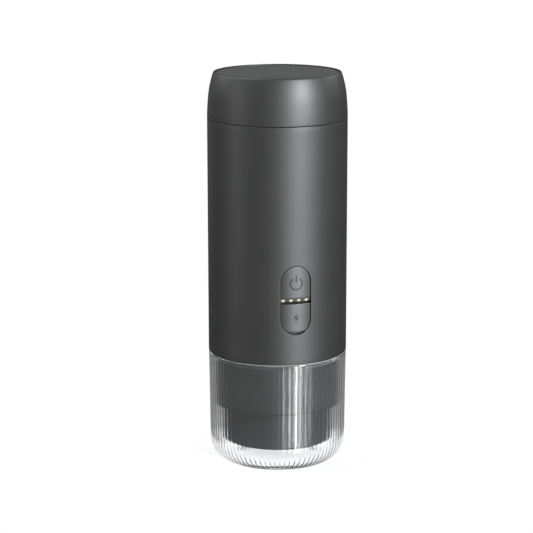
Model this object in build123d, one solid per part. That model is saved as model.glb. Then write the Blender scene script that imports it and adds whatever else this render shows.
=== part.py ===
from build123d import *
from math import acos, asin, cos, degrees, pi, radians, sin, tan
import os

# Portable espresso maker standing in its own drinking cup.
# Millimetres. The origin is the middle of the cup's underside, +Z is up and the front panel looks along -Y.

# Housing tube
body_radius = 35.5
shell_wall = 1.5
slip_gap = 0.2              # radial gap of a piece that slides into the housing tube

# Drinking cup
cup_height = 58.7
cup_set_back = 0.1          # how far the cup's rim stays inside the housing's side
cup_wall = 2.5
cup_floor = 3.0
cup_draft = 0.012           # radius gained per millimetre of height
cup_corner = 12.4

# Base of the maker, which reaches down into the cup
base_gap = 0.2
flange_thickness = 2.6
skirt_wall = 2.2
skirt_drop = 27.5           # how far the skirt hangs below the cup's rim
ledge_width = 1.6
ledge_height = 2.0
cup_ring_room = 1.5         # between skirt and cup, for the ring that grips the rim
cup_ring_gap = 0.3
cup_ring_height = 2.6
cup_ring_below_rim = 0.9
cup_ring_bevel = 1.0

# Group head, shower screen and gasket
head_depth = 14.5           # from the flange's top to the face that the gasket seals on
head_flange = 4.0
head_gap = 0.3
head_ledge_gap = 1.1
head_wall = 2.5
head_hub_radius = 8.0
head_web = 2.0
head_face_plate = 5.0
spray_recess_depth = 1.5
screen_margin = 2.5         # of the screen round the spray recess
screen_gap = 1.0
screen_thickness = 0.8
screen_hole = 0.7
screen_rings = (8.0, 14.0)
screen_ring_counts = (6, 12)
gasket_inset = 1.4          # of the gasket's bore inside the basket's
gasket_width = 4.3
gasket_thickness = 2.0
screw_boss = 3.2

# Coffee basket and brewing bowl
basket_rim_width = 3.4
basket_rim_thickness = 1.2
basket_wall = 0.8
basket_depth = 22.8
basket_taper = 1.1
basket_lip = 1.6
basket_hole = 0.6
basket_rings = (4.5, 9.0, 13.5)
basket_ring_counts = (6, 10, 16)
bowl_thread_room = 1.3
bowl_lip = 2.1              # wall beside the basket's rim
bowl_wall = 2.4
bowl_height = 32.7
bowl_floor = 2.0
bowl_corner = 4.0
bowl_inner_corner = 3.0
bowl_shoulder = 2.0
bowl_shoulder_gap = 0.6
spout_radius = 4.5
spout_bore = 2.5
spout_drop = 1.5

# Battery pack and the two trays
cell_radius = 9.1
cell_length = 65.0
cell_side_room = 1.0
cell_gap = 2.58             # between neighbouring cells
cell_cap_radius = 3.0
cell_cap_height = 0.6
seat_gap = 0.25
seat_wall = 0.95
seat_height = 2.0
tray_thickness = 2.5
strap_width = 6.0
strap_thickness = 0.3
strap_gap = 0.1
post_radius = 2.4
post_side_x = 23.0
post_side_y = -9.0
post_cell_gap = 1.7

# Gear pump
gear_module = 1.0
gear_teeth = 12
gear_pressure_angle = 25.0
gear_addendum = 0.85
gear_dedendum = 1.1
gear_backlash = 0.15
gear_height = 8.3
gear_end_gap = 0.1
gear_tip_gap = 0.25
pump_y = -4.0
pump_wall = 3.9
pump_floor = 4.5
pump_cover_thickness = 3.0
pump_collar_wall = 1.6
pump_collar_height = 4.0
port_radius = 1.6
outlet_y = -11.0
inlet_x = 9.0
inlet_y = 3.5
barb_radius = 2.2
barb_bore = 1.2
barb_length = 6.0
hose_radius = 3.2
hose_gap = 0.05
tube_seat = 2.0             # how deep the outlet tube stands in the pump and in the group head
pump_screw_circle = 8.4
pump_screw_angle = 30.0

# Motor
motor_radius = 12.2
motor_length = 29.0
motor_cap_radius = 10.5
motor_cap_height = 2.0
motor_boss_radius = 4.0
motor_boss_height = 1.2
shaft_radius = 1.15
shaft_flat = 0.3
shaft_gap = 0.05
shaft_in_motor = 8.0
idler_pin_radius = 1.5
seal_radius = 4.5
seal_height = 2.5
terminal_spread = 3.5
terminal_height = 3.0
terminal_width = 2.4
terminal_thickness = 0.5

# Heater and water tank
heater_space = 8.0
heater_inset = 4.5          # of the heater plate's edge inside the tank's side
heater_thickness = 2.5
heater_hole = 4.5
element_inset = 9.0
element_width = 4.4
element_height = 1.6
element_gap_angle = 40.0
element_leg = 4.0
standoff_radius = 3.0
standoff_inset = 3.4
standoff_turn = 30.0
sensor_radius = 2.0
sensor_height = 3.0
sensor_x = -6.0
sensor_y = 8.0
tank_side_room = 3.3
tank_wall = 1.0
tank_floor = 1.2
tank_depth = 32.6
tank_corner = 5.0
tank_rim_room = 1.4
outlet_flange = 5.0
outlet_stem = 3.0

# Neck of the tank and the lid that screws on it
neck_seal = 0.8
collar_thickness = 1.8
collar_set_back = 0.2
neck_wall = 2.8
neck_rise = 9.4
seam_gap = 0.2
lid_gasket_thickness = 2.0
lid_gasket_lip = 0.8
thread_room = 1.4           # radial room between neck and liner for the screw thread
liner_wall = 1.7
liner_side_room = 1.1       # between liner and metal cap, at the cap's foot
liner_plate = 1.8
liner_skirt_gap = 0.5
liner_rib = 1.5
liner_rib_count = 6
liner_hub = 6.0
liner_hub_bore = 4.0
lid_head_room = 8.6         # from the liner's plate to the underside of the top disc
lid_wall = 1.5
lid_mid_inset = 0.85        # radius lost 10 mm below the top
lid_mid_depth = 10.0
lid_top_inset = 2.95        # radius lost at the top edge
lid_edge_round = 0.8
lid_ledge_width = 1.5
lid_ledge_thickness = 1.4
lid_rim_width = 1.45        # metal rim round the disc
disc_gap = 0.15
disc_thickness = 1.4
disc_recess = 0.2
valve_radius = 3.5
valve_lip = 0.8
valve_stem = 1.2
valve_stem_length = 3.5

# Front panel: power button, light strip and socket cover in one long window
panel_width = 15.7
panel_height = 35.1
panel_rise = 10.1           # from the tray's deck to the window's lower end
panel_gap = 0.15
cover_height = 16.0
cover_thickness = 1.4
cover_edge = 0.45
notch_x = 0.6               # shallow nail notch across the cover's lower end
notch_radius = 4.6
notch_height = 1.4          # how far the notch reaches above the window's lower end
hinge_depth = 1.9           # from the cover's face to its pin
hinge_below_top = 1.1
hinge_barrel = 0.95
hinge_pin = 0.45
hinge_gap = 0.05
pin_overlap = 0.75          # how far the pin reaches into the tube at each side
slot_height = 2.8           # from the cover's top edge to the button's lower edge
light_inset = 1.2
light_height = 1.55
light_side_gap = 0.2
button_face = 2.9           # from the button's face to its flange
button_flange = 0.8
button_flange_lip = 1.0
button_travel = 0.6
plunger_radius = 2.0
plunger_length = 0.9

# Circuit board and what stands on it
board_depth = 11.9          # from the housing's face to the board
board_thickness = 1.6
board_width = 26.0
board_top_gap = 3.0
board_rise = 4.0
frame_depth = 7.1
frame_half_width = 12.5
frame_top_margin = 3.5
frame_leg_height = 6.0
frame_leg_width = 4.5
frame_clearance = 0.3
boss_radius = 2.2
boss_x = 10.2
boss_low = 8.6
boss_high = 46.0
socket_width = 8.94
socket_height = 3.26
socket_wall = 0.3
socket_depth = 6.5
socket_length = 7.6
socket_above_window = 8.1
tongue_width = 6.7
tongue_height = 0.7
port_well_width = 13.2
port_well_height = 7.6
port_well_depth = 5.0
port_well_corner = 2.0
switch_size = 6.0
switch_height = 3.4
switch_stem = 1.7
switch_gap = 0.2            # left between plunger and stem at the end of the button's travel
lamp_spacing = 3.99
lamp_count = 4
lamp_width = 1.6
lamp_height = 0.8
lamp_depth = 0.8
lamp_gap = 0.5
board_part_x = 6.0
controller_size = 7.0
controller_height = 1.0
coil_size = 6.0
coil_height = 3.0
coil_bevel = 1.2
capacitor_radius = 2.5
capacitor_height = 3.5
capacitor_rise = 14.0
capacitor_places = (5.0, 10.5)

# Small fasteners
screw_radius = 1.0
screw_head_radius = 1.9
screw_head_height = 1.4
screw_length = 6.0
screw_end_room = 1.0        # free depth under a screw in a blind hole
screen_screw_head = 2.9
wire_radius = 0.6
wire_bend = 2.0

# Radii that follow from the housing tube, from outside to inside
bore_radius = body_radius - shell_wall
insert_radius = bore_radius - slip_gap
cup_rim_radius = body_radius - cup_set_back
skirt_radius = cup_rim_radius - cup_wall - cup_ring_room
skirt_inner = skirt_radius - skirt_wall
bowl_radius = skirt_inner - bowl_thread_room
basket_radius = bowl_radius - bowl_lip - basket_rim_width
gasket_inner = basket_radius - gasket_inset
screen_radius = gasket_inner - screen_gap
spray_recess_radius = screen_radius - screen_margin
head_drum_radius = skirt_inner - ledge_width - head_ledge_gap
head_pocket_radius = head_drum_radius - head_wall
cell_ring = insert_radius - cell_side_room - cell_radius
cell_step = 2 * degrees(asin((cell_radius + cell_gap / 2) / cell_ring))
post_back_y = cell_ring - cell_radius - post_cell_gap - post_radius
tank_radius = insert_radius - tank_side_room
tank_rim = insert_radius - tank_rim_room
heater_radius = tank_radius - heater_inset
element_ring = heater_radius - element_inset
standoff_ring = heater_radius - standoff_inset
neck_radius = body_radius - lid_wall - liner_side_room - liner_wall - thread_room
disc_radius = body_radius - lid_top_inset - lid_rim_width
board_front = body_radius - board_depth
frame_back = body_radius - frame_depth
board_height = cell_length - board_rise - board_top_gap

# Heights that follow, from the table upwards
rim_z = cup_height
flange_z = rim_z + base_gap
flange_top = flange_z + flange_thickness
deck = flange_top + tray_thickness
cell_top = deck + cell_length
upper_deck = cell_top + tray_thickness
heater_z = upper_deck + heater_space
tank_z = heater_z + heater_thickness
tank_floor_z = tank_z + tank_floor
tank_top = tank_floor_z + tank_depth
collar_z = tank_top + neck_seal
collar_top = collar_z + collar_thickness
shell_top = collar_top + collar_set_back
lid_z = shell_top + seam_gap
neck_top = shell_top + neck_rise
plate_z = neck_top + lid_gasket_thickness
plate_top = plate_z + liner_plate
disc_z = plate_top + lid_head_room
lid_top = disc_z + disc_thickness + disc_recess
head_z = flange_top - head_depth
basket_top = head_z - gasket_thickness
shoulder_z = basket_top - basket_rim_thickness
bowl_top = basket_top - head_gap
bowl_z = bowl_top - bowl_height
skirt_z = rim_z - skirt_drop

# Pump and motor heights
gear_pitch_radius = gear_module * gear_teeth / 2
gear_tip_radius = gear_pitch_radius + gear_addendum * gear_module
gear_root_radius = gear_pitch_radius - gear_dedendum * gear_module
cavity_radius = gear_tip_radius + gear_tip_gap
cavity_z = deck + pump_floor
gear_z = cavity_z + gear_end_gap
pump_top = gear_z + gear_height + gear_end_gap
pump_cover_top = pump_top + pump_cover_thickness
motor_z = pump_cover_top + pump_collar_height
motor_top = motor_z + motor_length
drive_axis = Pos(-gear_pitch_radius, pump_y)
idler_axis = Pos(gear_pitch_radius, pump_y)
pump_radius = cavity_radius + pump_wall

# Front panel places
window_z = deck + panel_rise
window_mid = window_z + panel_height / 2
cover_top = window_z + cover_height
hinge_z = cover_top - hinge_below_top
hinge_y = hinge_depth - body_radius
button_z = cover_top + slot_height
light_z = button_z - panel_gap - light_height
light_mid = light_z + light_height / 2
button_mid = (button_z + window_z + panel_height) / 2
socket_z = window_z + socket_above_window
flange_front = body_radius - button_face
flange_rear = flange_front - button_flange
plunger_end = flange_rear - plunger_length
switch_front = plunger_end - button_travel - switch_gap
frame_rear_ledge = flange_rear - button_travel - switch_gap
board_z = deck + board_rise
board_rear = board_front - board_thickness


def ring(outer, inner, low, high):
    """Upright tube between two heights, about the middle axis."""
    section = Circle(outer) - Circle(inner) if inner else Circle(outer)
    return Pos(0, 0, low) * extrude(section, high - low)


def turned(*points):
    """Solid of revolution of a closed outline of (radius, height) points."""
    return revolve(make_face(Plane.XZ * Polyline(*points, close=True)), Axis.Z)


def block(width, near, far, low, high, x=0.0):
    """Box from a depth far behind to a depth near the front, both measured along -Y from the axis."""
    middle = Pos(x, -(near + far) / 2, (low + high) / 2)
    return middle * Box(width, near - far, high - low)


def forward(sketch, near, far):
    """Extrude a sketch of the front view, (x, z), from depth far to depth near along -Y."""
    return extrude(Plane.XZ.offset(far) * sketch, near - far)


def rod(radius, x, z, near, far):
    """Round bar along -Y."""
    return forward(Pos(x, z) * Circle(radius), near, far)


def stadium(grow):
    """Outline of the front window, grown by a margin all round."""
    outline = SlotOverall(panel_height + 2 * grow, panel_width + 2 * grow, rotation=90)
    return Pos(0, window_mid) * outline


def around(count, radius, turn=0.0):
    """Places spaced evenly on a circle."""
    return [Rot(0, 0, turn + 360 * i / count) * Pos(radius, 0) for i in range(count)]


def cell_places():
    """Places of the three cells, behind the pump."""
    return [Rot(0, 0, 90 + cell_step * i) * Pos(cell_ring, 0) for i in (-1, 0, 1)]


def post_places():
    """Places of the three posts between the trays."""
    return [Pos(-post_side_x, post_side_y), Pos(post_side_x, post_side_y), Pos(0, post_back_y)]


def pump_screw_places():
    """Places of the pump's screws, two beside each gear."""
    places = []
    for angle in (-pump_screw_angle, pump_screw_angle):
        places.append(idler_axis * Rot(0, 0, angle) * Pos(pump_screw_circle, 0))
        places.append(drive_axis * Rot(0, 0, 180 + angle) * Pos(pump_screw_circle, 0))
    return places


def boss_places():
    """Places, (x, z), of the four bosses that carry the board."""
    return [(x, deck + z) for x in (-boss_x, boss_x) for z in (boss_low, boss_high)]


def lead(*points):
    """Six-sided insulated wire along straight runs joined by bends."""
    path = FilletPolyline(*points, radius=wire_bend)
    return sweep(Plane(path @ 0, z_dir=path % 0) * RegularPolygon(wire_radius, 6), path)


# Drinking cup

def cup_radius(z):
    """Outer radius of the drafted wall at a height."""
    return cup_rim_radius - cup_draft * (rim_z - z)


def cup():
    """Clear moulded cup: drafted wall and a large bottom corner, inside and outside."""
    corner_top = cup_radius(cup_corner)
    inner_corner = cup_corner - cup_floor
    inner_z = cup_corner
    inner_r = cup_radius(inner_z) - cup_wall
    ease = 1 - cos(radians(45))
    outline = Curve() + [
        Line((0, 0), (corner_top - cup_corner, 0)),
        ThreePointArc(
            (corner_top - cup_corner, 0),
            (corner_top - cup_corner * ease, cup_corner * ease),
            (corner_top, cup_corner),
        ),
        Line((corner_top, cup_corner), (cup_rim_radius, rim_z)),
        Line((cup_rim_radius, rim_z), (cup_rim_radius - cup_wall, rim_z)),
        Line((cup_rim_radius - cup_wall, rim_z), (inner_r, inner_z)),
        ThreePointArc(
            (inner_r, inner_z),
            (inner_r - inner_corner * ease, cup_floor + inner_corner * ease),
            (inner_r - inner_corner, cup_floor),
        ),
        Line((inner_r - inner_corner, cup_floor), (0, cup_floor)),
        Line((0, cup_floor), (0, 0)),
    ]
    return revolve(make_face(Plane.XZ * outline), Axis.Z)


# Housing

def outer_shell():
    """Aluminium tube with the long front window and blind holes for the cover's pin."""
    tube = ring(body_radius, bore_radius, rim_z, shell_top)
    tube -= forward(stadium(0), body_radius + 1, bore_radius / 2)
    pin_room = Pos(0, hinge_y, hinge_z) * Rot(0, 90, 0) * Cylinder(
        hinge_pin + hinge_gap, panel_width + 2 * pin_overlap
    )
    return tube - pin_room


def base_cover():
    """Collar that closes the tube's lower end: flange, skirt into the cup and a ledge for the group head."""
    ledge_top = flange_top - head_flange
    ledge_bottom = ledge_top - ledge_height
    inner = skirt_inner - ledge_width
    solid = turned(
        (skirt_inner, skirt_z),
        (skirt_radius, skirt_z),
        (skirt_radius, flange_z),
        (insert_radius, flange_z),
        (insert_radius, flange_top),
        (skirt_inner, flange_top),
        (skirt_inner, ledge_top),
        (inner, ledge_top),
        (inner, ledge_bottom),
        (skirt_inner, ledge_bottom - ledge_width),
    )
    low_edges = solid.edges().filter_by_position(Axis.Z, skirt_z, skirt_z)
    return chamfer(low_edges, skirt_wall / 5)


def cup_ring():
    """Silicone band that grips the cup's rim from inside, its lower edge bevelled to lead the cup on."""
    high = rim_z - cup_ring_below_rim
    low = high - cup_ring_height
    inner = skirt_radius + slip_gap / 4
    outer = skirt_radius + cup_ring_room - cup_ring_gap
    return turned((inner, low), (outer, low + cup_ring_bevel), (outer, high), (inner, high))


def group_head():
    """Moulded head over the basket: flange on the ledge, cored drum, water bore and spray recess."""
    drum = ring(head_drum_radius, 0, head_z, flange_top)
    drum += ring(skirt_inner - head_gap, 0, flange_top - head_flange, flange_top)
    pocket = ring(head_pocket_radius, head_hub_radius, head_z + head_face_plate, flange_top)
    depth = flange_top - head_z
    width = 2 * (hose_radius + head_web)
    web = Pos(0, outlet_y, head_z + depth / 2) * Box(width, 2 * head_pocket_radius, depth)
    drum -= pocket - web
    drum -= ring(spray_recess_radius, screw_boss, head_z, head_z + spray_recess_depth)
    drum -= Pos(0, outlet_y, head_z) * extrude(Circle(port_radius), depth)
    drum -= Pos(0, outlet_y, flange_top - tube_seat) * extrude(Circle(hose_radius), tube_seat)
    return drum - ring(screw_radius + shaft_gap, 0, head_z, head_z + screw_length)


def outlet_tube():
    """Short silicone sleeve from the pump's outlet into the group head."""
    section = Circle(hose_radius - hose_gap) - Circle(port_radius)
    length = deck - flange_top + 2 * tube_seat
    return Pos(0, outlet_y, flange_top - tube_seat) * extrude(section, length)


def group_gasket():
    """Flat silicone ring that the basket's rim is pressed against."""
    return ring(gasket_inner + gasket_width, gasket_inner, basket_top, head_z)


def shower_screen():
    """Thin disc with two rings of six-sided holes under the spray recess."""
    disc = ring(screen_radius, screw_radius + shaft_gap, head_z - screen_thickness, head_z)
    hole = extrude(RegularPolygon(screen_hole, 6), head_z)
    for radius, count in zip(screen_rings, screen_ring_counts):
        disc -= [place * hole for place in around(count, radius)]
    return disc


def shower_screw():
    """Screw that holds the shower screen."""
    under = head_z - screen_thickness
    head = ring(screen_screw_head, 0, under - screw_head_height / 2, under)
    return head + ring(screw_radius, 0, under, head_z + screw_length - screw_end_room)


# Basket and bowl

def coffee_basket():
    """Deep-drawn basket: wide rim, tapered wall and a lip that carries the perforated plate."""
    floor_z = basket_top - basket_depth
    low = basket_radius - basket_taper
    return turned(
        (low - basket_lip, floor_z),
        (low, floor_z),
        (basket_radius, shoulder_z - basket_taper),
        (basket_radius, shoulder_z),
        (basket_radius + basket_rim_width - slip_gap, shoulder_z),
        (basket_radius + basket_rim_width - slip_gap, basket_top),
        (basket_radius - basket_wall, basket_top),
        (low - basket_wall, floor_z + basket_wall),
        (low - basket_lip, floor_z + basket_wall),
    )


def basket_screen():
    """Perforated plate in the floor of the basket."""
    floor_z = basket_top - basket_depth + basket_wall
    radius = basket_radius - basket_taper - basket_wall - slip_gap
    disc = ring(radius, 0, floor_z, floor_z + basket_wall)
    hole = extrude(RegularPolygon(basket_hole, 6), floor_z + basket_wall)
    for ring_radius, count in zip(basket_rings, basket_ring_counts):
        disc -= [place * hole for place in around(count, ring_radius)]
    return disc


def brew_bowl():
    """Bowl that screws up into the skirt: thick wall, inner shoulder for the basket, spout below."""
    inner = bowl_radius - bowl_wall
    shoulder = basket_radius + bowl_shoulder_gap
    seat = basket_radius + basket_rim_width
    solid = turned(
        (0, bowl_z),
        (bowl_radius - bowl_corner, bowl_z),
        (bowl_radius, bowl_z + bowl_corner),
        (bowl_radius, bowl_top),
        (seat, bowl_top),
        (seat, shoulder_z),
        (shoulder, shoulder_z),
        (shoulder, shoulder_z - bowl_shoulder),
        (inner, shoulder_z - 2 * bowl_shoulder),
        (inner, bowl_z + bowl_floor + bowl_inner_corner),
        (inner - bowl_inner_corner, bowl_z + bowl_floor),
        (0, bowl_z + bowl_floor),
    )
    solid += ring(spout_radius, 0, bowl_z - spout_drop, bowl_z + bowl_floor / 2)
    return solid - ring(spout_bore, 0, bowl_z - spout_drop, bowl_z + bowl_floor)


# Battery pack

def battery_cell(place):
    """Round cell with its raised cap, lying in a recess of the upper tray."""
    can = extrude(Circle(cell_radius), cell_length)
    cap = Pos(0, 0, cell_length) * extrude(Circle(cell_cap_radius), cell_cap_height)
    return place * Pos(0, 0, deck) * (can + cap)


def strap_boxes(grow):
    """Two flat links between the middle cell and its neighbours, clear of the cells' caps."""
    half = radians(cell_step / 2)
    reach = cell_ring * cos(half)
    length = 2 * cell_ring * sin(half) - 2 * cell_cap_radius - 2 * strap_gap
    shape = Box(strap_width + 2 * grow, length + 2 * grow, strap_thickness + grow, align=(
        Align.CENTER, Align.CENTER, Align.MIN,
    ))
    turns = (90 - cell_step / 2, 90 + cell_step / 2)
    return [Rot(0, 0, turn) * Pos(reach, 0, cell_top) * shape for turn in turns]


def lower_tray():
    """Chassis plate that the cells, the pump and the posts stand on, with a rim round each cell."""
    tray = ring(insert_radius, 0, flange_top, deck)
    seat = Circle(cell_radius + seat_gap + seat_wall) - Circle(cell_radius + seat_gap)
    room = ring(insert_radius, 0, deck, deck + seat_height)
    for place in cell_places():
        tray += place * Pos(0, 0, deck) * extrude(seat, seat_height) & room
    tray -= Pos(0, outlet_y, flange_top) * extrude(Circle(hose_radius), tray_thickness)
    return tray


def upper_tray():
    """Chassis plate over the cells, with room for the caps, the links, the outlet and the heater's leads."""
    tray = ring(insert_radius, 0, cell_top, upper_deck)
    for place in cell_places():
        cap_room = extrude(Circle(cell_cap_radius + strap_gap), 2 * cell_cap_height)
        tray -= place * Pos(0, 0, cell_top) * cap_room
    for room in strap_boxes(strap_gap / 2):
        tray -= room
    tray -= Pos(inlet_x, inlet_y, cell_top) * extrude(Circle(heater_hole), tray_thickness)
    for place in element_ends():
        tray -= place * Pos(0, 0, cell_top + tray_thickness / 2) * Box(
            element_width, element_width, tray_thickness
        )
    for place in post_places():
        tray -= place * Pos(0, 0, cell_top) * extrude(Circle(screw_radius + shaft_gap), tray_thickness)
    return tray


def tray_posts():
    """Threaded posts between the trays."""
    bore = Circle(screw_radius + shaft_gap)
    post = extrude(RegularPolygon(post_radius, 6), cell_length)
    post -= Pos(0, 0, cell_length - screw_length) * extrude(bore, screw_length)
    return [place * Pos(0, 0, deck) * post for place in post_places()]


def screw(length):
    """Six-sided screw, head up, with its shank below the origin."""
    head = extrude(RegularPolygon(screw_head_radius, 6), screw_head_height)
    return head + Pos(0, 0, -length) * extrude(Circle(screw_radius), length)


def post_screws():
    """Screws through the upper tray into the posts."""
    return [place * Pos(0, 0, upper_deck) * screw(screw_length) for place in post_places()]


# Gear pump

def involute(angle):
    """Involute function of a pressure angle."""
    return tan(angle) - angle


def gear_outline():
    """Closed outline of a spur gear: root arcs, straight roots, involute flanks and tip arcs."""
    pressure = radians(gear_pressure_angle)
    base = gear_pitch_radius * cos(pressure)
    half = pi / (2 * gear_teeth) - gear_backlash / (2 * gear_pitch_radius) + involute(pressure)
    middle = (base + gear_tip_radius) / 2

    def at(radius, angle):
        return (radius * cos(angle), radius * sin(angle))

    def flank(radius):
        return half - involute(acos(min(1.0, base / radius)))

    edges = []
    pitch = 2 * pi / gear_teeth
    for i in range(gear_teeth):
        turn = i * pitch
        low, mid, tip = flank(base), flank(middle), flank(gear_tip_radius)
        edges += [
            Line(at(gear_root_radius, turn - low), at(base, turn - low)),
            ThreePointArc(at(base, turn - low), at(middle, turn - mid), at(gear_tip_radius, turn - tip)),
            ThreePointArc(
                at(gear_tip_radius, turn - tip), at(gear_tip_radius, turn), at(gear_tip_radius, turn + tip)
            ),
            ThreePointArc(at(gear_tip_radius, turn + tip), at(middle, turn + mid), at(base, turn + low)),
            Line(at(base, turn + low), at(gear_root_radius, turn + low)),
            ThreePointArc(
                at(gear_root_radius, turn + low),
                at(gear_root_radius, turn + pitch / 2),
                at(gear_root_radius, turn + pitch - low),
            ),
        ]
    return make_face(Curve() + edges)


def shaft_section(gap):
    """Round section with a flat on one side."""
    return Circle(shaft_radius + gap) - Pos(2 * shaft_radius - shaft_flat + gap, 0) * Rectangle(
        2 * shaft_radius, 4 * shaft_radius
    )


def drive_gear():
    """Pump gear on the motor's shaft, its bore flat on one side."""
    blank = extrude(gear_outline() - shaft_section(shaft_gap / 2), gear_height)
    return drive_axis * Pos(0, 0, gear_z) * blank


def idler_gear():
    """Second pump gear, half a tooth round so that it meshes with the first."""
    blank = extrude(gear_outline() - Circle(idler_pin_radius + shaft_gap), gear_height)
    return idler_axis * Pos(0, 0, gear_z) * Rot(0, 0, 180 / gear_teeth) * blank


def motor_shaft():
    """Steel shaft from the pump's foot bearing up into the motor, flat where the gear sits."""
    foot = cavity_z - pump_floor / 2
    top = motor_z + shaft_in_motor - shaft_gap
    flat_top = pump_top
    lower = Pos(0, 0, gear_z) * extrude(shaft_section(0), flat_top - gear_z)
    pin = Pos(0, 0, foot) * extrude(Circle(shaft_radius), gear_z - foot)
    upper = Pos(0, 0, flat_top) * extrude(Circle(shaft_radius), top - flat_top)
    return drive_axis * (pin + lower + upper)


def pump_outline(radius):
    """Two discs round the gears' axes, joined by their common sides."""
    return Pos(0, pump_y) * SlotCenterToCenter(2 * gear_pitch_radius, 2 * radius)


def pump_body():
    """Machined body: figure-of-eight cavity, inlet gallery, outlet pocket, foot bearing and pin hole."""
    body = Pos(0, 0, deck) * extrude(pump_outline(pump_radius), pump_top - deck)
    depth = pump_top - cavity_z
    for axis in (drive_axis, idler_axis):
        body -= axis * Pos(0, 0, cavity_z) * extrude(Circle(cavity_radius), depth)
    cusp = (cavity_radius ** 2 - gear_pitch_radius ** 2) ** 0.5
    outlet = Pos(0, (pump_y - cusp + outlet_y) / 2) * Rectangle(2 * port_radius, pump_y - cusp - outlet_y)
    outlet += Pos(0, outlet_y) * Circle(port_radius)
    body -= Pos(0, 0, cavity_z) * extrude(outlet, depth)
    start = pump_y + cusp
    gallery = Pos(inlet_x / 2, (start + inlet_y) / 2) * Rot(0, 0, gallery_turn(start)) * SlotCenterToCenter(
        (inlet_x ** 2 + (inlet_y - start) ** 2) ** 0.5, 2 * port_radius
    )
    body -= Pos(0, 0, pump_top - 2 * port_radius) * extrude(gallery, 2 * port_radius)
    body -= Pos(0, outlet_y, deck) * extrude(Circle(port_radius), pump_floor)
    body -= Pos(0, outlet_y, deck) * extrude(Circle(hose_radius), tube_seat)
    bearing = pump_floor / 2 + shaft_gap
    body -= drive_axis * Pos(0, 0, cavity_z - bearing) * extrude(Circle(shaft_radius + shaft_gap), bearing)
    body -= idler_axis * Pos(0, 0, cavity_z - bearing) * extrude(Circle(idler_pin_radius), bearing)
    for place in pump_screw_places():
        hole = extrude(Circle(screw_radius + shaft_gap), screw_length)
        body -= place * Pos(0, 0, pump_top - screw_length) * hole
    return body


def gallery_turn(start):
    """Direction of the inlet gallery, in degrees, from the gears' meshing point to the inlet."""
    return Vector(1, 0, 0).get_signed_angle(Vector(inlet_x, inlet_y - start, 0), Vector(0, 0, 1))


def pump_cover():
    """Cover plate with the inlet barb, the shaft hole and the collar that carries the motor."""
    plate = pump_outline(pump_radius) + drive_axis * Circle(motor_radius)
    cover = Pos(0, 0, pump_top) * extrude(plate, pump_cover_thickness)
    collar = Circle(motor_radius) - Circle(motor_radius - pump_collar_wall)
    cover += drive_axis * Pos(0, 0, pump_cover_top) * extrude(collar, pump_collar_height)
    barb = Pos(inlet_x, inlet_y)
    cover += barb * Pos(0, 0, pump_cover_top) * extrude(Circle(barb_radius), barb_length)
    cover -= barb * Pos(0, 0, pump_top) * extrude(Circle(barb_bore), pump_cover_thickness + barb_length)
    shaft_room = extrude(Circle(shaft_radius + 2 * shaft_gap), motor_z - pump_top)
    cover -= drive_axis * Pos(0, 0, pump_top) * shaft_room
    pin_depth = pump_cover_thickness / 2
    cover -= idler_axis * Pos(0, 0, pump_top) * extrude(Circle(idler_pin_radius), pin_depth)
    for place in pump_screw_places():
        cover -= place * Pos(0, 0, pump_top) * extrude(Circle(screw_radius + shaft_gap), pump_cover_thickness)
    return cover


def idler_pin():
    """Fixed pin that the idler gear turns on."""
    low = cavity_z - pump_floor / 2
    high = pump_top + pump_cover_thickness / 2
    return idler_axis * Pos(0, 0, low) * extrude(Circle(idler_pin_radius), high - low)


def shaft_seal():
    """Lip seal round the shaft, on top of the pump cover."""
    section = Circle(seal_radius) - Circle(shaft_radius + shaft_gap)
    return drive_axis * Pos(0, 0, pump_cover_top) * extrude(section, seal_height)


def pump_screws():
    """Screws that hold the cover on the pump body."""
    length = pump_cover_thickness + screw_length - screw_end_room
    return [place * Pos(0, 0, pump_cover_top) * screw(length) for place in pump_screw_places()]


# Motor

def motor_can():
    """Drawn steel can with its front boss and shaft bore."""
    can = Pos(0, 0, motor_z) * extrude(Circle(motor_radius), motor_length)
    can = chamfer(can.edges().group_by(Axis.Z)[-1], motor_cap_height / 2)
    can += Pos(0, 0, motor_z - motor_boss_height) * extrude(Circle(motor_boss_radius), motor_boss_height)
    depth = motor_boss_height + shaft_in_motor
    can -= Pos(0, 0, motor_z - motor_boss_height) * extrude(Circle(shaft_radius + shaft_gap), depth)
    return drive_axis * can


def motor_end_cap():
    """Plastic end cap of the motor."""
    cap = extrude(Circle(motor_cap_radius), motor_cap_height)
    cap = chamfer(cap.edges().group_by(Axis.Z)[-1], motor_cap_height / 4)
    return drive_axis * Pos(0, 0, motor_top) * cap


def terminal_places():
    """Places of the motor's two terminals."""
    return [drive_axis * Pos(side * terminal_spread, 0, motor_top + motor_cap_height) for side in (-1, 1)]


def motor_terminals():
    """Two flat terminals on the end cap."""
    blade = Box(
        terminal_thickness, terminal_width, terminal_height, align=(Align.CENTER, Align.CENTER, Align.MIN)
    )
    return [place * blade for place in terminal_places()]


def motor_leads():
    """Two wires from the terminals to the back of the board."""
    start = motor_top + motor_cap_height + terminal_height
    high = start + 2 * wire_bend
    rear = -board_rear
    leads = []
    for side in (-1, 1):
        x = side * terminal_spread - gear_pitch_radius
        leads.append(lead((x, pump_y, start), (x, pump_y, high), (x, rear, high)))
    return leads


def inlet_tube():
    """Silicone tube from the tank's outlet straight down beside the motor to the pump's inlet."""
    low = pump_cover_top + slip_gap
    section = Circle(hose_radius) - Circle(barb_radius + hose_gap)
    return Pos(inlet_x, inlet_y, low) * extrude(section, outlet_stem_end() - slip_gap - low)


# Heater and tank

def element_ends():
    """Places of the two ends of the heating element, at the front."""
    half = element_gap_angle / 2
    return [Rot(0, 0, -90 + turn) * Pos(element_ring, 0) for turn in (-half, half)]


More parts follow.
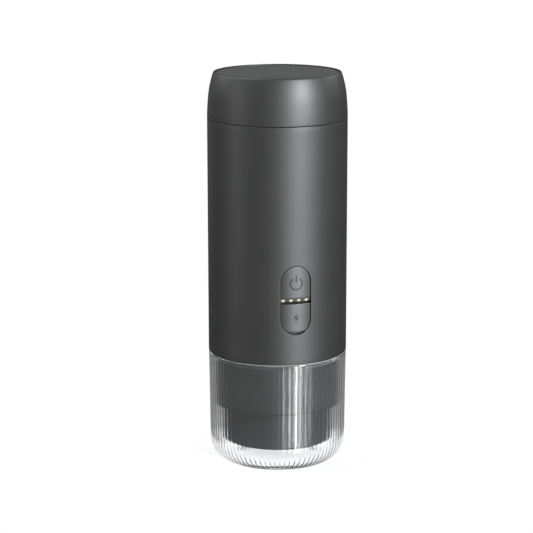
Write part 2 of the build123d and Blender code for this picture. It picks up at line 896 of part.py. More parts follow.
def heating_element():
    """Open ring element under the heater plate, with two legs at the front."""
    half = element_gap_angle / 2
    section = Pos(element_ring, heater_z - element_height / 2) * Rectangle(element_width, element_height)
    element = Rot(0, 0, half - 90) * revolve(Plane.XZ * section, Axis.Z, 360 - element_gap_angle)
    leg = Box(element_width / 2, element_height, element_leg + element_height)
    low = heater_z - element_height / 2 - element_leg / 2
    for side, place in zip((1, -1), element_ends()):
        element += place * Pos(0, -side * element_height / 2, low) * leg
    return element


def heater_plate():
    """Cast plate under the tank, with a hole for the outlet."""
    plate = ring(heater_radius, 0, heater_z, tank_z)
    return plate - Pos(inlet_x, inlet_y, heater_z) * extrude(Circle(heater_hole), heater_thickness)


def heater_standoffs():
    """Insulating feet that carry the heater plate on the upper tray."""
    foot = extrude(Circle(standoff_radius), heater_space)
    return [place * Pos(0, 0, upper_deck) * foot for place in around(3, standoff_ring, standoff_turn)]


def temperature_sensor():
    """Sensor under the heater plate."""
    body = extrude(Circle(sensor_radius), sensor_height)
    return Pos(sensor_x, sensor_y, heater_z - sensor_height) * body


def heater_leads():
    """Two wires from the element's legs down to the board."""
    start = heater_z - element_height - element_leg
    low = cell_top - 2 * wire_bend
    leads = []
    for place in element_ends():
        x, y = place.position.X, place.position.Y
        leads.append(lead((x, y, start), (x, y, low), (x, -board_rear, low)))
    return leads


def water_tank():
    """Deep-drawn steel tank: rolled-out rim, bevelled floor and outlet hole."""
    inner = tank_radius - tank_wall
    bevel = tank_corner - tank_wall / 2
    solid = turned(
        (0, tank_z),
        (tank_radius - tank_corner, tank_z),
        (tank_radius, tank_z + tank_corner),
        (tank_radius, tank_top - tank_wall),
        (tank_rim, tank_top - tank_wall),
        (tank_rim, tank_top),
        (inner, tank_top),
        (inner, tank_floor_z + bevel),
        (inner - bevel, tank_floor_z),
        (0, tank_floor_z),
    )
    return solid - Pos(inlet_x, inlet_y, tank_z) * extrude(Circle(outlet_stem), tank_floor)


def outlet_stem_end():
    """Height of the lower end of the outlet's stem, where its barb begins."""
    return upper_deck - slip_gap


def tank_outlet():
    """Outlet fitting: flange on the tank's floor, stem through floor and heater plate, barb below."""
    low = outlet_stem_end()
    fitting = ring(outlet_flange, 0, tank_floor_z, tank_floor_z + tank_wall)
    fitting += ring(outlet_stem, 0, low, tank_floor_z)
    fitting += ring(barb_radius, 0, low - barb_length, low)
    fitting -= ring(barb_bore, 0, low - barb_length, tank_floor_z + tank_wall)
    return Pos(inlet_x, inlet_y) * fitting


def tank_seal():
    """Flat seal between the tank's rim and the neck."""
    return ring(tank_rim, tank_radius - tank_wall, tank_top, collar_z)


def tank_neck():
    """Moulded neck: collar that closes the housing's upper end and the spigot that the lid screws on."""
    inner = neck_radius - neck_wall
    return turned(
        (inner, collar_z),
        (insert_radius, collar_z),
        (insert_radius, collar_top),
        (neck_radius, collar_top),
        (neck_radius, neck_top),
        (inner, neck_top),
    )


# Lid

def lid_gasket():
    """Silicone ring between the neck's end and the liner's plate."""
    inner = neck_radius - neck_wall - slip_gap
    return ring(neck_radius + lid_gasket_lip, inner, neck_top, plate_z)


def lid_shell():
    """Metal cap: softly tapered side, rounded top edge and the ledge that carries the top disc."""
    top_radius = body_radius - lid_top_inset
    mid_radius = body_radius - lid_mid_inset
    mid_z = lid_top - lid_mid_depth
    seat = disc_radius + disc_gap
    ledge = seat - lid_ledge_width
    lower_side = TangentArc((body_radius, lid_z), (mid_radius, mid_z), tangent=(0, 1))
    upper_side = TangentArc((mid_radius, mid_z), (top_radius, lid_top), tangent=lower_side % 1)
    inside = Polyline(
        (top_radius, lid_top),
        (seat, lid_top),
        (seat, disc_z),
        (ledge, disc_z),
        (ledge, disc_z - lid_ledge_thickness),
        (seat, disc_z - 2 * lid_ledge_thickness),
        (mid_radius - lid_wall, mid_z),
        (body_radius - lid_wall, lid_z),
        (body_radius, lid_z),
    )
    solid = revolve(make_face(Plane.XZ * (lower_side + upper_side + inside)), Axis.Z)
    crown = solid.edges().filter_by_position(Axis.Z, lid_top, lid_top).sort_by(Edge.length)[-1]
    return fillet(crown, lid_edge_round)


def lid_liner():
    """Plastic liner: threaded skirt, sealing plate, ribs and hub up to the top disc."""
    inner = neck_radius + thread_room
    outer = inner + liner_wall
    low = lid_z + liner_skirt_gap
    wall = disc_radius + disc_gap - lid_ledge_width
    liner = turned(
        (inner, low),
        (outer, low),
        (outer, plate_top - liner_plate),
        (outer - liner_plate, plate_top),
        (0, plate_top),
        (0, plate_z),
        (inner, plate_z),
    )
    liner += ring(liner_hub, liner_hub_bore, plate_top, disc_z)
    liner += ring(wall - slip_gap, wall - slip_gap - liner_rib, plate_top, disc_z)
    reach = wall - slip_gap - liner_rib / 2
    middle = (reach + liner_hub - liner_rib / 2) / 2
    length = reach - liner_hub + liner_rib / 2
    height = disc_z - plate_top
    for i in range(liner_rib_count):
        place = Rot(0, 0, 360 * i / liner_rib_count) * Pos(middle, 0, plate_top + height / 2)
        liner += place * Box(length, liner_rib, height)
    return liner - ring(valve_stem + shaft_gap, 0, plate_z, plate_top)


def lid_disc():
    """Flat inlaid disc in the top of the lid."""
    return ring(disc_radius, 0, disc_z, disc_z + disc_thickness)


def vent_valve():
    """Silicone umbrella valve that lets air into the tank."""
    lip = ring(valve_radius, 0, plate_z - valve_lip, plate_z)
    return lip + ring(valve_stem, 0, plate_z, plate_z + valve_stem_length)


# Front panel

def panel_room(low, high):
    """Slab over the whole width of the panel between two heights."""
    return block(2 * panel_width, 2 * body_radius, 0, low, high)


def power_button():
    """Button cap that follows the tube's curve, with its flange behind the tube's wall and its plunger."""
    cap = forward(stadium(-panel_gap), body_radius, flange_front)
    cap &= panel_room(button_z, window_z + panel_height)
    cap &= ring(body_radius, 0, window_z, shell_top)
    flange = forward(stadium(button_flange_lip), flange_front, flange_rear)
    flange &= panel_room(button_z + panel_gap, shell_top)
    return cap + flange + rod(plunger_radius, 0, button_mid, flange_rear, plunger_end)


def barrel(radius, length):
    """Round bar along the cover's hinge line."""
    return Pos(0, hinge_y, hinge_z) * Rot(0, 90, 0) * Cylinder(radius, length)


def usb_cover():
    """Curved cover of the charging socket: hinge barrel at its top, nail notch at its lower end."""
    width = panel_width - 2 * panel_gap
    room = panel_room(window_z, cover_top)
    plate = forward(stadium(-panel_gap), body_radius, bore_radius / 2) & room
    plate &= ring(body_radius, body_radius - cover_thickness, window_z, cover_top)
    top_edges = plate.edges().filter_by(GeomType.CIRCLE).filter_by_position(Axis.Z, cover_top, cover_top)
    plate = chamfer(top_edges.sort_by(Axis.Y)[0], cover_edge)
    hinge = barrel(hinge_barrel, width) & ring(body_radius - cover_edge, 0, window_z, cover_top)
    plate += hinge & forward(stadium(-panel_gap), body_radius, 0)
    plate -= barrel(hinge_pin + hinge_gap, panel_width)
    return plate - rod(notch_radius, notch_x, window_z + notch_height - notch_radius, body_radius, 0)


def cover_pin():
    """Steel pin of the cover."""
    return barrel(hinge_pin, panel_width + 2 * pin_overlap - 2 * hinge_gap)


def light_bar():
    """Clear light guide: curved strip in the window and four prongs back to the lamps."""
    half = panel_width / 2 - light_side_gap
    back = frame_back + light_inset
    strip = block(2 * half, body_radius, back, light_z, light_z + light_height)
    strip &= ring(body_radius - light_inset, 0, light_z, light_z + light_height)
    tip = board_front + lamp_depth + lamp_gap
    for x in lamp_places():
        strip += block(lamp_width, back, tip, light_mid - lamp_height, light_mid + lamp_height, x)
    return strip


def lamp_places():
    """Positions of the lamps across the panel."""
    return [lamp_spacing * (i - (lamp_count - 1) / 2) for i in range(lamp_count)]


def led_chips():
    """Lamps on the front of the board."""
    low, high = light_mid - lamp_height / 2, light_mid + lamp_height / 2
    return [block(lamp_width, board_front + lamp_depth, board_front, low, high, x) for x in lamp_places()]


def panel_frame():
    """Frame behind the window: legs on the deck, button well, light slot, hinge room and port well."""
    top = window_z + panel_height + frame_top_margin
    frame = block(2 * frame_half_width, body_radius, frame_back, deck, top)
    frame &= ring(insert_radius, 0, deck, top)
    leg_gap = 2 * (frame_half_width - frame_leg_width)
    frame -= block(leg_gap, body_radius, 0, deck, deck + frame_leg_height)
    well = forward(stadium(button_flange_lip + frame_clearance), body_radius, frame_rear_ledge)
    frame -= well & panel_room(button_z, shell_top)
    frame -= rod(plunger_radius + frame_clearance, 0, button_mid, body_radius, 0)
    half = panel_width / 2 + panel_gap
    slot_low = light_z - panel_gap
    frame -= block(2 * half, body_radius, 0, slot_low, button_z)
    swing = hinge_depth + frame_clearance
    frame -= block(2 * half, body_radius, -hinge_y - swing, hinge_z - swing, slot_low)
    port = Pos(0, socket_z) * RectangleRounded(port_well_width, port_well_height, port_well_corner)
    frame -= forward(port, body_radius, body_radius - port_well_depth)
    mouth = SlotOverall(socket_width + frame_clearance, socket_height + frame_clearance)
    frame -= forward(Pos(0, socket_z) * mouth, body_radius, 0)
    for x, z in boss_places():
        frame += rod(boss_radius, x, z, frame_back + boss_radius, board_front)
        frame -= rod(screw_radius + shaft_gap, x, z, board_front + screw_length, board_front)
    return frame


# Circuit board

def main_board():
    """Board behind the panel, held on the frame's four bosses."""
    board = block(board_width, board_front, board_rear, board_z, board_z + board_height)
    for x, z in boss_places():
        board -= rod(screw_radius + shaft_gap, x, z, board_front, board_rear)
    return board


def board_screws():
    """Screws from behind through the board into the bosses."""
    turn = Rot(-90, 0, 0)
    return [Pos(x, -board_rear, z) * turn * screw(screw_length - shaft_gap) for x, z in boss_places()]


def usb_socket():
    """Charging socket: rounded steel shell round a thin tongue."""
    front = board_front + socket_length
    outline = SlotOverall(socket_width, socket_height)
    hollow = SlotOverall(socket_width - 2 * socket_wall, socket_height - 2 * socket_wall)
    place = Pos(0, socket_z)
    socket = forward(place * outline, front, board_front)
    socket -= forward(place * hollow, front, front - socket_depth)
    tongue_end = front - socket_depth / 4
    return socket + forward(place * Rectangle(tongue_width, tongue_height), tongue_end, front - socket_depth)


def tactile_switch():
    """Push switch behind the power button."""
    low, high = button_mid - switch_size / 2, button_mid + switch_size / 2
    body = block(switch_size, board_front + switch_height, board_front, low, high)
    return body + rod(switch_stem, 0, button_mid, switch_front, board_front + switch_height)


def board_parts():
    """Controller, coil and two capacitors on the back of the board."""
    rear = -board_rear
    low = board_z + board_height / 4
    base = (Align.CENTER, Align.MIN, Align.CENTER)
    controller = Box(controller_size, controller_height, controller_size, align=base)
    controller = Pos(-board_part_x, rear, low) * controller
    coil = Pos(board_part_x, rear, low) * Box(coil_size, coil_height, coil_size, align=base)
    coil = chamfer(coil.edges().filter_by(Axis.Y), coil_bevel)
    can = Rot(-90, 0, 0) * extrude(Circle(capacitor_radius), capacitor_height)
    capacitors = [Pos(x, rear, low + capacitor_rise) * can for x in capacitor_places]
    return [controller, coil, *capacitors]


def battery_leads():
    """Two wires from the outer links down and forward to the board."""
    high = cell_top
    low = cell_top - 4 * wire_bend
    x = cell_ring * sin(radians(cell_step))
    y = cell_ring * cos(radians(cell_step)) - cell_radius - seat_gap - seat_wall - 2 * wire_radius
    end = board_width / 2 - wire_bend
    leads = []
    for side in (-1, 1):
        leads.append(lead(
            (side * x, y, high),
            (side * x, y, low),
            (side * x, pump_y - motor_radius, low),
            (side * end, -board_rear + 2 * wire_radius, low),
        ))
    return leads


# Every piece goes to its own file

def save(name, shape):
    """Write one named piece, or a group of alike pieces, to its file."""
    solids = shape if isinstance(shape, list) else [shape]
    solids = [solid for item in solids for solid in item.solids()]
    whole = solids[0] if len(solids) == 1 else Compound(solids)
    export_step(whole, os.path.join("parts", name + ".step"))


os.makedirs("parts", exist_ok=True)
pieces = [
    cup, outer_shell, base_cover, cup_ring, group_head, outlet_tube, group_gasket, shower_screen,
    shower_screw, coffee_basket, basket_screen, brew_bowl, lower_tray, upper_tray, tray_posts,
    post_screws, drive_gear,
    idler_gear, motor_shaft, pump_body, pump_cover, idler_pin, shaft_seal, pump_screws, motor_can,
    motor_end_cap, motor_terminals, motor_leads, inlet_tube, heating_element, heater_plate, heater_standoffs,
    temperature_sensor, heater_leads, water_tank, tank_outlet, tank_seal, tank_neck, lid_gasket, lid_shell,
    lid_liner, lid_disc, vent_valve, power_button, usb_cover, cover_pin, light_bar, led_chips, panel_frame,
    main_board, board_screws, usb_socket, tactile_switch, board_parts, battery_leads,
]
for piece in pieces:
    save(piece.__name__, piece())
for number, place in enumerate(cell_places(), 1):
    save("battery_cell_" + str(number), battery_cell(place))
save("battery_straps", strap_boxes(0))
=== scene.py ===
import math
import bmesh
import bpy
import numpy as np
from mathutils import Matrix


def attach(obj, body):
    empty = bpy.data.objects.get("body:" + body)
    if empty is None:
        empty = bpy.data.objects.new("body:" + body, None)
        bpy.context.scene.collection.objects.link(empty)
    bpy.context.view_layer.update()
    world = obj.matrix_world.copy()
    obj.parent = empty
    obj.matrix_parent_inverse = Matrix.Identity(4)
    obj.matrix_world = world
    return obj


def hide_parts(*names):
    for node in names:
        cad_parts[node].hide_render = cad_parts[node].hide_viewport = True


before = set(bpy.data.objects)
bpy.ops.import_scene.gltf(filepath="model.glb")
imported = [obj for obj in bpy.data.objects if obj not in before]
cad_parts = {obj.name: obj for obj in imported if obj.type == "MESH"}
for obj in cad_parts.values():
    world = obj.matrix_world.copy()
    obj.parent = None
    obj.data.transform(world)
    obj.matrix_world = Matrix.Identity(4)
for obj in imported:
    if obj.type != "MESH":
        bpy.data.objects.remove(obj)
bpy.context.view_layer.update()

# Portable espresso maker standing in its clear drinking cup.
# Shapes are worked out in millimetres and written to the meshes in metres.
# The origin is the middle of the cup's underside, +Z is up and the front panel looks along -Y.
# Each piece has a dictionary of its values; the functions that build it take that dictionary as v.

mm = 0.001
turn = 2 * math.pi
weldReach = 2e-7        # metres; points closer than this become one
cornerSteps = 7         # points round each eased corner of a turned outline


def linked(name, data):
    # an object of the scene that holds this lamp, camera or mesh
    obj = bpy.data.objects.new(name, data)
    bpy.context.scene.collection.objects.link(obj)
    return obj


# Camera, lamps and floor

camera = {
    "distance": 951.0,      # from the object's axis to the lens, level with the floor
    "height": 315.0,        # lens above the floor
    "azimuth": -15.35,      # degrees round from the front, towards the object's right-hand side
    "pitch": 12.65,         # degrees downwards
    "lens": 128.28,
    "sensor": 36.0,
    "sideShift": -0.02045,  # share of the picture's width
    "nearest": 50.0,
    "farthest": 50000.0,
}


def makeCamera(v):
    # the lens stands on a circle round the axis and looks back at the axis, tipped down by the pitch
    data = bpy.data.cameras.new("viewCamera")
    data.lens = v["lens"]
    data.sensor_width = v["sensor"]
    data.shift_x = v["sideShift"]
    data.clip_start = v["nearest"] * mm
    data.clip_end = v["farthest"] * mm
    obj = linked("viewCamera", data)
    angle = math.radians(v["azimuth"])
    reach = v["distance"] * mm
    obj.location = (reach * math.sin(angle), -reach * math.cos(angle), v["height"] * mm)
    obj.rotation_euler = (math.radians(90 - v["pitch"]), 0, angle)
    bpy.context.scene.camera = obj


lampColor = (0.965, 0.98, 1.0)      # a touch of daylight
lampAim = 0.1                       # metres; height of the point that all lamps face
lamps = {
    # azimuth round the object and elevation in degrees; distance, width and height in metres; strength in watts;
    # the strips stand upright and give the housing its highlight and the cup its lines of light
    "stripRight": (16.0, -8.0, 1.1, 0.05, 0.94, 2.7),
    "stripWide": (18.5, -8.0, 1.1, 0.27, 0.94, 1.4),
    "stripThin1": (-5.4, -8.0, 1.1, 0.03, 0.94, 0.45),
    "stripThin2": (4.7, -8.0, 1.1, 0.03, 0.94, 0.55),
    "stripThin3": (23.4, -8.0, 1.1, 0.03, 0.94, 0.9),
    "stripThin4": (32.7, -8.0, 1.1, 0.03, 0.94, 0.65),
    "stripThin5": (41.1, -8.0, 1.1, 0.03, 0.94, 0.4),
    "keyRight": (26.5, 21.0, 1.1, 0.22, 0.3, 12.2),
    "softLeft": (-84.0, 8.0, 1.2, 0.3, 0.8, 1.7),
    "softRight": (97.0, 24.0, 1.2, 0.3, 0.3, 1.8),
    "backHigh": (165.0, 42.0, 1.3, 1.2, 0.8, 4.8),
    "topLeft": (-95.0, 60.0, 1.3, 0.5, 0.5, 5.5),
    "backLeft": (-128.0, 29.0, 1.3, 0.5, 0.5, 4.5),
    "backRight": (112.0, 32.0, 1.3, 0.5, 0.5, 4.0),
    "backStrip": (203.0, 4.0, 1.2, 0.25, 0.8, 1.6),
}


def makeLamps(v):
    # each lamp is a soft rectangle on a sphere round the object, facing the object's middle
    for name, (azimuth, elevation, distance, width, height, watts) in v.items():
        data = bpy.data.lights.new(name, "AREA")
        data.shape = "RECTANGLE"
        data.size, data.size_y = width, height
        data.energy = watts
        data.color = lampColor
        obj = linked(name, data)
        a, e = math.radians(azimuth), math.radians(elevation)
        obj.location = (
            distance * math.sin(a) * math.cos(e),
            -distance * math.cos(a) * math.cos(e),
            lampAim + distance * math.sin(e),
        )
        obj.rotation_euler = (math.radians(90) - e, 0, a)


room = {"seen": 1.0, "mirrored": 0.3}      # brightness of the surroundings to the camera and to everything else


def makeWorld(v):
    # the camera sees white surroundings; metal and plastic mirror a soft grey, which also lights them
    world = bpy.data.worlds.new("studio")
    bpy.context.scene.world = world
    world.use_nodes = True
    nodes, links = world.node_tree.nodes, world.node_tree.links
    nodes.clear()
    out = nodes.new("ShaderNodeOutputWorld")
    path = nodes.new("ShaderNodeLightPath")
    mix = nodes.new("ShaderNodeMixShader")
    links.new(path.outputs["Is Camera Ray"], mix.inputs["Fac"])
    for socket, name in ((1, "mirrored"), (2, "seen")):
        level = nodes.new("ShaderNodeBackground")
        level.inputs["Color"].default_value = (1, 1, 1, 1)
        level.inputs["Strength"].default_value = v[name]
        links.new(level.outputs[0], mix.inputs[socket])
    links.new(mix.outputs[0], out.inputs["Surface"])


floor = {
    "radius": 62, "drop": 0.03, "rings": 24, "sides": 96,
    "color": 0.8, "rough": 0.7, "specular": 0.1,    # what the lamps see
    "near": 30, "far": 60, "nearShare": 0.78,       # to the camera it turns fully white between these two radii
    "footNear": 30, "footFar": 42,                  # through the cup it loses its white between these two
    "glow": 1.0, "throughGain": 0.15,               # the white's strength, and more of it through clear plastic
}


def makeFloor(v):
    # a disc with rings at squared radii; white is mixed in for the camera, more of it away from the object's shadow,
    # and for rays that only came through clear plastic, less of it away from the foot
    radius = np.linspace(0, 1, v["rings"]) ** 2 * v["radius"]
    angle = np.arange(v["sides"]) * turn / v["sides"]
    points = roundAxis(radius[:, None], angle, -v["drop"])
    obj = meshObject("studioFloor", points, gridQuads(v["rings"], v["sides"]))
    material, tree, shader, place = newFinish("floorWhite")
    shader.inputs["Roughness"].default_value = v["rough"]
    shader.inputs["Specular IOR Level"].default_value = v["specular"]
    shader.inputs["Base Color"].default_value = (*grey(v["color"]), 1)
    white = tree.nodes.new("ShaderNodeEmission")
    white.inputs["Color"].default_value = (1, 1, 1, 1)
    path = tree.nodes.new("ShaderNodeLightPath")
    through = path.outputs["Is Transmission Ray"]
    # makes up for the white that the cup's faces take
    tree.links.new(mathNode(tree, "MULTIPLY_ADD", through, v["throughGain"], v["glow"]), white.inputs["Strength"])
    reach = lengthOf(tree, place)
    fade = mapRange(tree, reach, v["near"] * mm, v["far"] * mm, v["nearShare"], 1.0, "SMOOTHSTEP")
    seen = mathNode(tree, "MULTIPLY", path.outputs["Is Camera Ray"], fade)
    straight = mathNode(tree, "SUBTRACT", through, path.outputs["Glossy Depth"], clamp=True)
    foot = mapRange(tree, reach, v["footNear"] * mm, v["footFar"] * mm, 1.0, 0.0, "SMOOTHSTEP")
    share = mathNode(tree, "MAXIMUM", seen, mathNode(tree, "MULTIPLY", straight, foot))
    mix = tree.nodes.new("ShaderNodeMixShader")
    for socket, output in enumerate((share, shader.outputs[0], white.outputs[0])):
        tree.links.new(output, mix.inputs[socket])
    tree.links.new(mix.outputs[0], tree.nodes["Material Output"].inputs["Surface"])
    obj.data.materials.append(material)


# Mesh tools

def gridQuads(rows, columns, closed=False):
    # quads of a grid numbered row by row; the last column joins the first, and so do the rows if closed
    i, j = np.meshgrid(np.arange(rows if closed else rows - 1), np.arange(columns), indexing="ij")
    k, m = (i + 1) % rows, (j + 1) % columns
    return np.stack([i * columns + j, i * columns + m, k * columns + m, k * columns + j], -1).reshape(-1, 4)


def repeated(quads, points, count):
    # the same quads again for each further set of points
    return (quads[None] + (np.arange(count) * points)[:, None, None]).reshape(-1, 4)


def roundAxis(r, angle, z):
    # points at radius, angle and height: x = r cos a, y = r sin a
    return np.stack(np.broadcast_arrays(r * np.cos(angle), r * np.sin(angle), z), -1)


def meshObject(name, points, quads, smoothAngle=38.0):
    # millimetre points and their quads become one closed, outward-facing mesh without doubles
    mesh = bpy.data.meshes.new(name)
    points = (np.reshape(points, (-1, 3)) * mm).astype(np.float32)
    mesh.vertices.add(len(points))
    mesh.vertices.foreach_set("co", points.ravel())
    mesh.loops.add(quads.size)
    mesh.loops.foreach_set("vertex_index", quads.ravel().astype(np.int32))
    mesh.polygons.add(len(quads))
    mesh.polygons.foreach_set("loop_start", np.arange(len(quads), dtype=np.int32) * 4)
    mesh.update(calc_edges=True)
    mesh.validate()
    work = bmesh.new()
    work.from_mesh(mesh)
    bmesh.ops.remove_doubles(work, verts=work.verts, dist=weldReach)
    bmesh.ops.recalc_face_normals(work, faces=work.faces)
    work.to_mesh(mesh)
    work.free()
    mesh.polygons.foreach_set("use_smooth", np.ones(len(mesh.polygons), bool))
    mesh.set_sharp_from_angle(angle=math.radians(smoothAngle))
    mesh.update()
    return linked(name, mesh)


def easedProfile(corners):
    # rows of (radius, height, ease): each corner becomes a parabola between the two points that lie one ease away
    # from it along its sides: (1 - s)^2 * start + 2s(1 - s) * corner + s^2 * end
    table = np.asarray(corners, float)
    point, ease = table[:, :2], table[:, 2:3]
    back, forth = np.roll(point, 1, 0) - point, np.roll(point, -1, 0) - point
    start = point + back * ease / np.linalg.norm(back, axis=1, keepdims=True)
    end = point + forth * ease / np.linalg.norm(forth, axis=1, keepdims=True)
    s = np.linspace(0, 1, cornerSteps)[None, :, None]
    curve = (1 - s) ** 2 * start[:, None] + 2 * s * (1 - s) * point[:, None] + s ** 2 * end[:, None]
    return curve.reshape(-1, 2)


def refine(profile, longest=1.6):
    # the straight stretches of a closed outline that are longer than a limit are divided evenly
    loop = np.vstack([profile, profile[:1]])
    step = np.diff(loop, axis=0)
    pieces = np.maximum(1, np.ceil(np.linalg.norm(step, axis=1) / longest)).astype(int)
    first = np.repeat(np.cumsum(pieces) - pieces, pieces)
    share = ((np.arange(pieces.sum()) - first) / np.repeat(pieces, pieces))[:, None]
    return np.repeat(loop[:-1], pieces, 0) + np.repeat(step, pieces, 0) * share


def turned(name, profile, sides=240, closed=True):
    # an outline of (radius, height) carried round the axis
    points = roundAxis(profile[:, :1], np.arange(sides) * turn / sides, profile[:, 1:])
    return meshObject(name, points, gridQuads(len(profile), sides, closed))


def flatRing(name, v):
    # a ring of square section with eased edges
    profile = easedProfile([
        (v["inside"], v["low"], v["ease"]), (v["outside"], v["low"], v["ease"]),
        (v["outside"], v["high"], v["ease"]), (v["inside"], v["high"], v["ease"]),
    ])
    return turned(name, profile, v["sides"])


threadShape = {
    # for all threads: widths of the ridge's foot and top, how far it is sunk into its wall, degrees that it fades over
    "foot": 1.5, "crest": 0.6, "bury": 0.3, "fade": 25, "lead": 6.0, "starts": 2, "stepsPerTurn": 180,
}


def threadRidges(name, v):
    # a trapezoid carried along a right-handed helix: height = low + lead * turns; both ends fade into the wall
    turns = (v["high"] - v["low"]) / v["lead"]
    steps = int(turns * v["stepsPerTurn"])
    along = np.linspace(0, turns, steps)
    fade = np.clip(np.minimum(along, turns - along) * 360 / v["fade"], 0, 1)[None, :, None]
    foot, crest = v["foot"] / 2, v["crest"] / 2
    across = np.array([-foot, -foot, -crest, crest, foot, foot])
    out = np.array([-v["bury"], 0.0, v["tall"], v["tall"], 0.0, -v["bury"]])
    first = (np.arange(v["starts"]) * turn / v["starts"])[:, None, None]
    angle = first + (along * turn)[None, :, None] + math.radians(v["turned"])
    r = v["radius"] + v["side"] * (-v["bury"] + (out + v["bury"]) * fade)
    z = v["low"] + (along * v["lead"])[None, :, None] + across * fade
    quads = repeated(gridQuads(steps, len(out)), steps * len(out), v["starts"])
    return meshObject(name, roundAxis(r, angle, z), quads)


def dress(obj, name):
    # one named finish for the whole mesh
    obj.data.materials.clear()
    obj.data.materials.append(finish[name])


def finished(obj, finishName, body, nodes):
    # gives a piece its finish and its body, and hides any CAD nodes that it stands for
    dress(obj, finishName)
    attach(obj, body)
    if nodes:
        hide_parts(*nodes)


# Finishes

def grey(level):
    # a colour with three equal parts
    return (level, level, level)


def newFinish(name):
    # a fresh material, its node tree, its shader and the piece's own coordinates in metres
    material = bpy.data.materials.new(name)
    material.use_nodes = True
    tree = material.node_tree
    place = tree.nodes.new("ShaderNodeTexCoord")
    return material, tree, tree.nodes["Principled BSDF"], place.outputs["Object"]


def mathNode(tree, operation, *values, clamp=False):
    # one step of arithmetic; each value is a number or another node's output
    node = tree.nodes.new("ShaderNodeMath")
    node.operation = operation
    node.use_clamp = clamp
    for socket, value in zip(node.inputs, values):
        if isinstance(value, float):
            socket.default_value = value
        else:
            tree.links.new(value, socket)
    return node.outputs[0]


def mapRange(tree, value, fromLow, fromHigh, toLow, toHigh, shape="LINEAR"):
    # a value's place between two limits, carried over to two others
    node = tree.nodes.new("ShaderNodeMapRange")
    node.interpolation_type = shape
    for socket, limit in (("From Min", fromLow), ("From Max", fromHigh), ("To Min", toLow), ("To Max", toHigh)):
        node.inputs[socket].default_value = limit
    tree.links.new(value, node.inputs["Value"])
    return node.outputs["Result"]


def lengthOf(tree, vector):
    # distance from the origin: the root of the sum of squares
    node = tree.nodes.new("ShaderNodeVectorMath")
    node.operation = "LENGTH"
    tree.links.new(vector, node.inputs[0])
    return node.outputs["Value"]


def noiseAt(tree, place, scale, detail, stretch=(1, 1, 1)):
    # cloudy values between 0 and 1, with one cloud every 1/scale metres
    mapping = tree.nodes.new("ShaderNodeMapping")
    mapping.inputs["Scale"].default_value = stretch
    tree.links.new(place, mapping.inputs["Vector"])
    noise = tree.nodes.new("ShaderNodeTexNoise")
    noise.inputs["Scale"].default_value = scale
    noise.inputs["Detail"].default_value = detail
    tree.links.new(mapping.outputs[0], noise.inputs["Vector"])
    return noise.outputs["Fac"]


def ringsAt(tree, place, scale, detail):
    # fine lathe rings: noise read along the distance from the object's axis, the length of (x, y, 0)
    flat = tree.nodes.new("ShaderNodeVectorMath")
    flat.operation = "MULTIPLY"
    flat.inputs[1].default_value = (1, 1, 0)
    tree.links.new(place, flat.inputs[0])
    noise = tree.nodes.new("ShaderNodeTexNoise")
    noise.noise_dimensions = "1D"
    noise.inputs["Scale"].default_value = scale
    noise.inputs["Detail"].default_value = detail
    tree.links.new(lengthOf(tree, flat.outputs[0]), noise.inputs["W"])
    return noise.outputs["Fac"]


def spread(tree, value, low, high):
    # values of 0.3 to 0.7, where noise mostly lies, are spread over a range
    return mapRange(tree, value, 0.3, 0.7, low, high)


def blendColors(tree, value, first, second):
    # first * (1 - value) + second * value
    mix = tree.nodes.new("ShaderNodeMix")
    mix.data_type = "RGBA"
    tree.links.new(value, mix.inputs["Factor"])
    mix.inputs["A"].default_value = (*first, 1)
    mix.inputs["B"].default_value = (*second, 1)
    return mix.outputs["Result"]


finishBasics = {
    # what a finish has where its own values don't say otherwise; depth is the bump's height in metres
    "strength": 0.3, "metal": 0.0, "specular": 0.5, "edge": 1.0, "clear": 0.0, "ior": 1.5, "sheen": 0.0,
    "stretch": (1, 1, 1), "lathe": False, "paintedRimHighlight": None, "glow": 0.0,
    "cloudDetail": 2.0, "grainDetail": 3.0, "ringDetail": 4.0,
}
plainInputs = {     # values that are inputs of the shader
    "metal": "Metallic", "specular": "Specular IOR Level", "clear": "Transmission Weight", "ior": "IOR",
    "sheen": "Sheen Weight",
}


def surface(name, given):
    # a finish whose colour drifts between two near tones; grain or lathe rings vary its gloss and its bump
    v = {**finishBasics, **given}
    material, tree, shader, place = newFinish(name)
    cloud = noiseAt(tree, place, v["cloud"], v["cloudDetail"])
    color = blendColors(tree, spread(tree, cloud, 0, 1), v["color"], v["second"])
    tree.links.new(color, shader.inputs["Base Color"])
    if v["lathe"]:
        grain = ringsAt(tree, place, v["grain"], v["ringDetail"])
    else:
        grain = noiseAt(tree, place, v["grain"], v["grainDetail"], v["stretch"])
    tree.links.new(spread(tree, grain, *v["rough"]), shader.inputs["Roughness"])
    bump = tree.nodes.new("ShaderNodeBump")
    bump.inputs["Strength"].default_value = v["strength"]
    bump.inputs["Distance"].default_value = v["depth"]
    tree.links.new(grain, bump.inputs["Height"])
    tree.links.new(bump.outputs[0], shader.inputs["Normal"])
    for entry, socket in plainInputs.items():
        shader.inputs[socket].default_value = v[entry]
    shader.inputs["Specular Tint"].default_value = (*grey(v["edge"]), 1)
    if v["paintedRimHighlight"]:
        # clear below a height, matt and pale above it: a pale band painted along the cup's rim as its highlight
        low, high, pale = v["paintedRimHighlight"]
        apart = tree.nodes.new("ShaderNodeSeparateXYZ")
        tree.links.new(place, apart.inputs[0])
        clearness = mapRange(tree, apart.outputs["Z"], low, high, v["clear"], v["clear"] - pale)
        tree.links.new(clearness, shader.inputs["Transmission Weight"])
    if v["glow"]:
        shader.inputs["Emission Color"].default_value = (*v["color"], 1)
        shader.inputs["Emission Strength"].default_value = v["glow"]
    return material


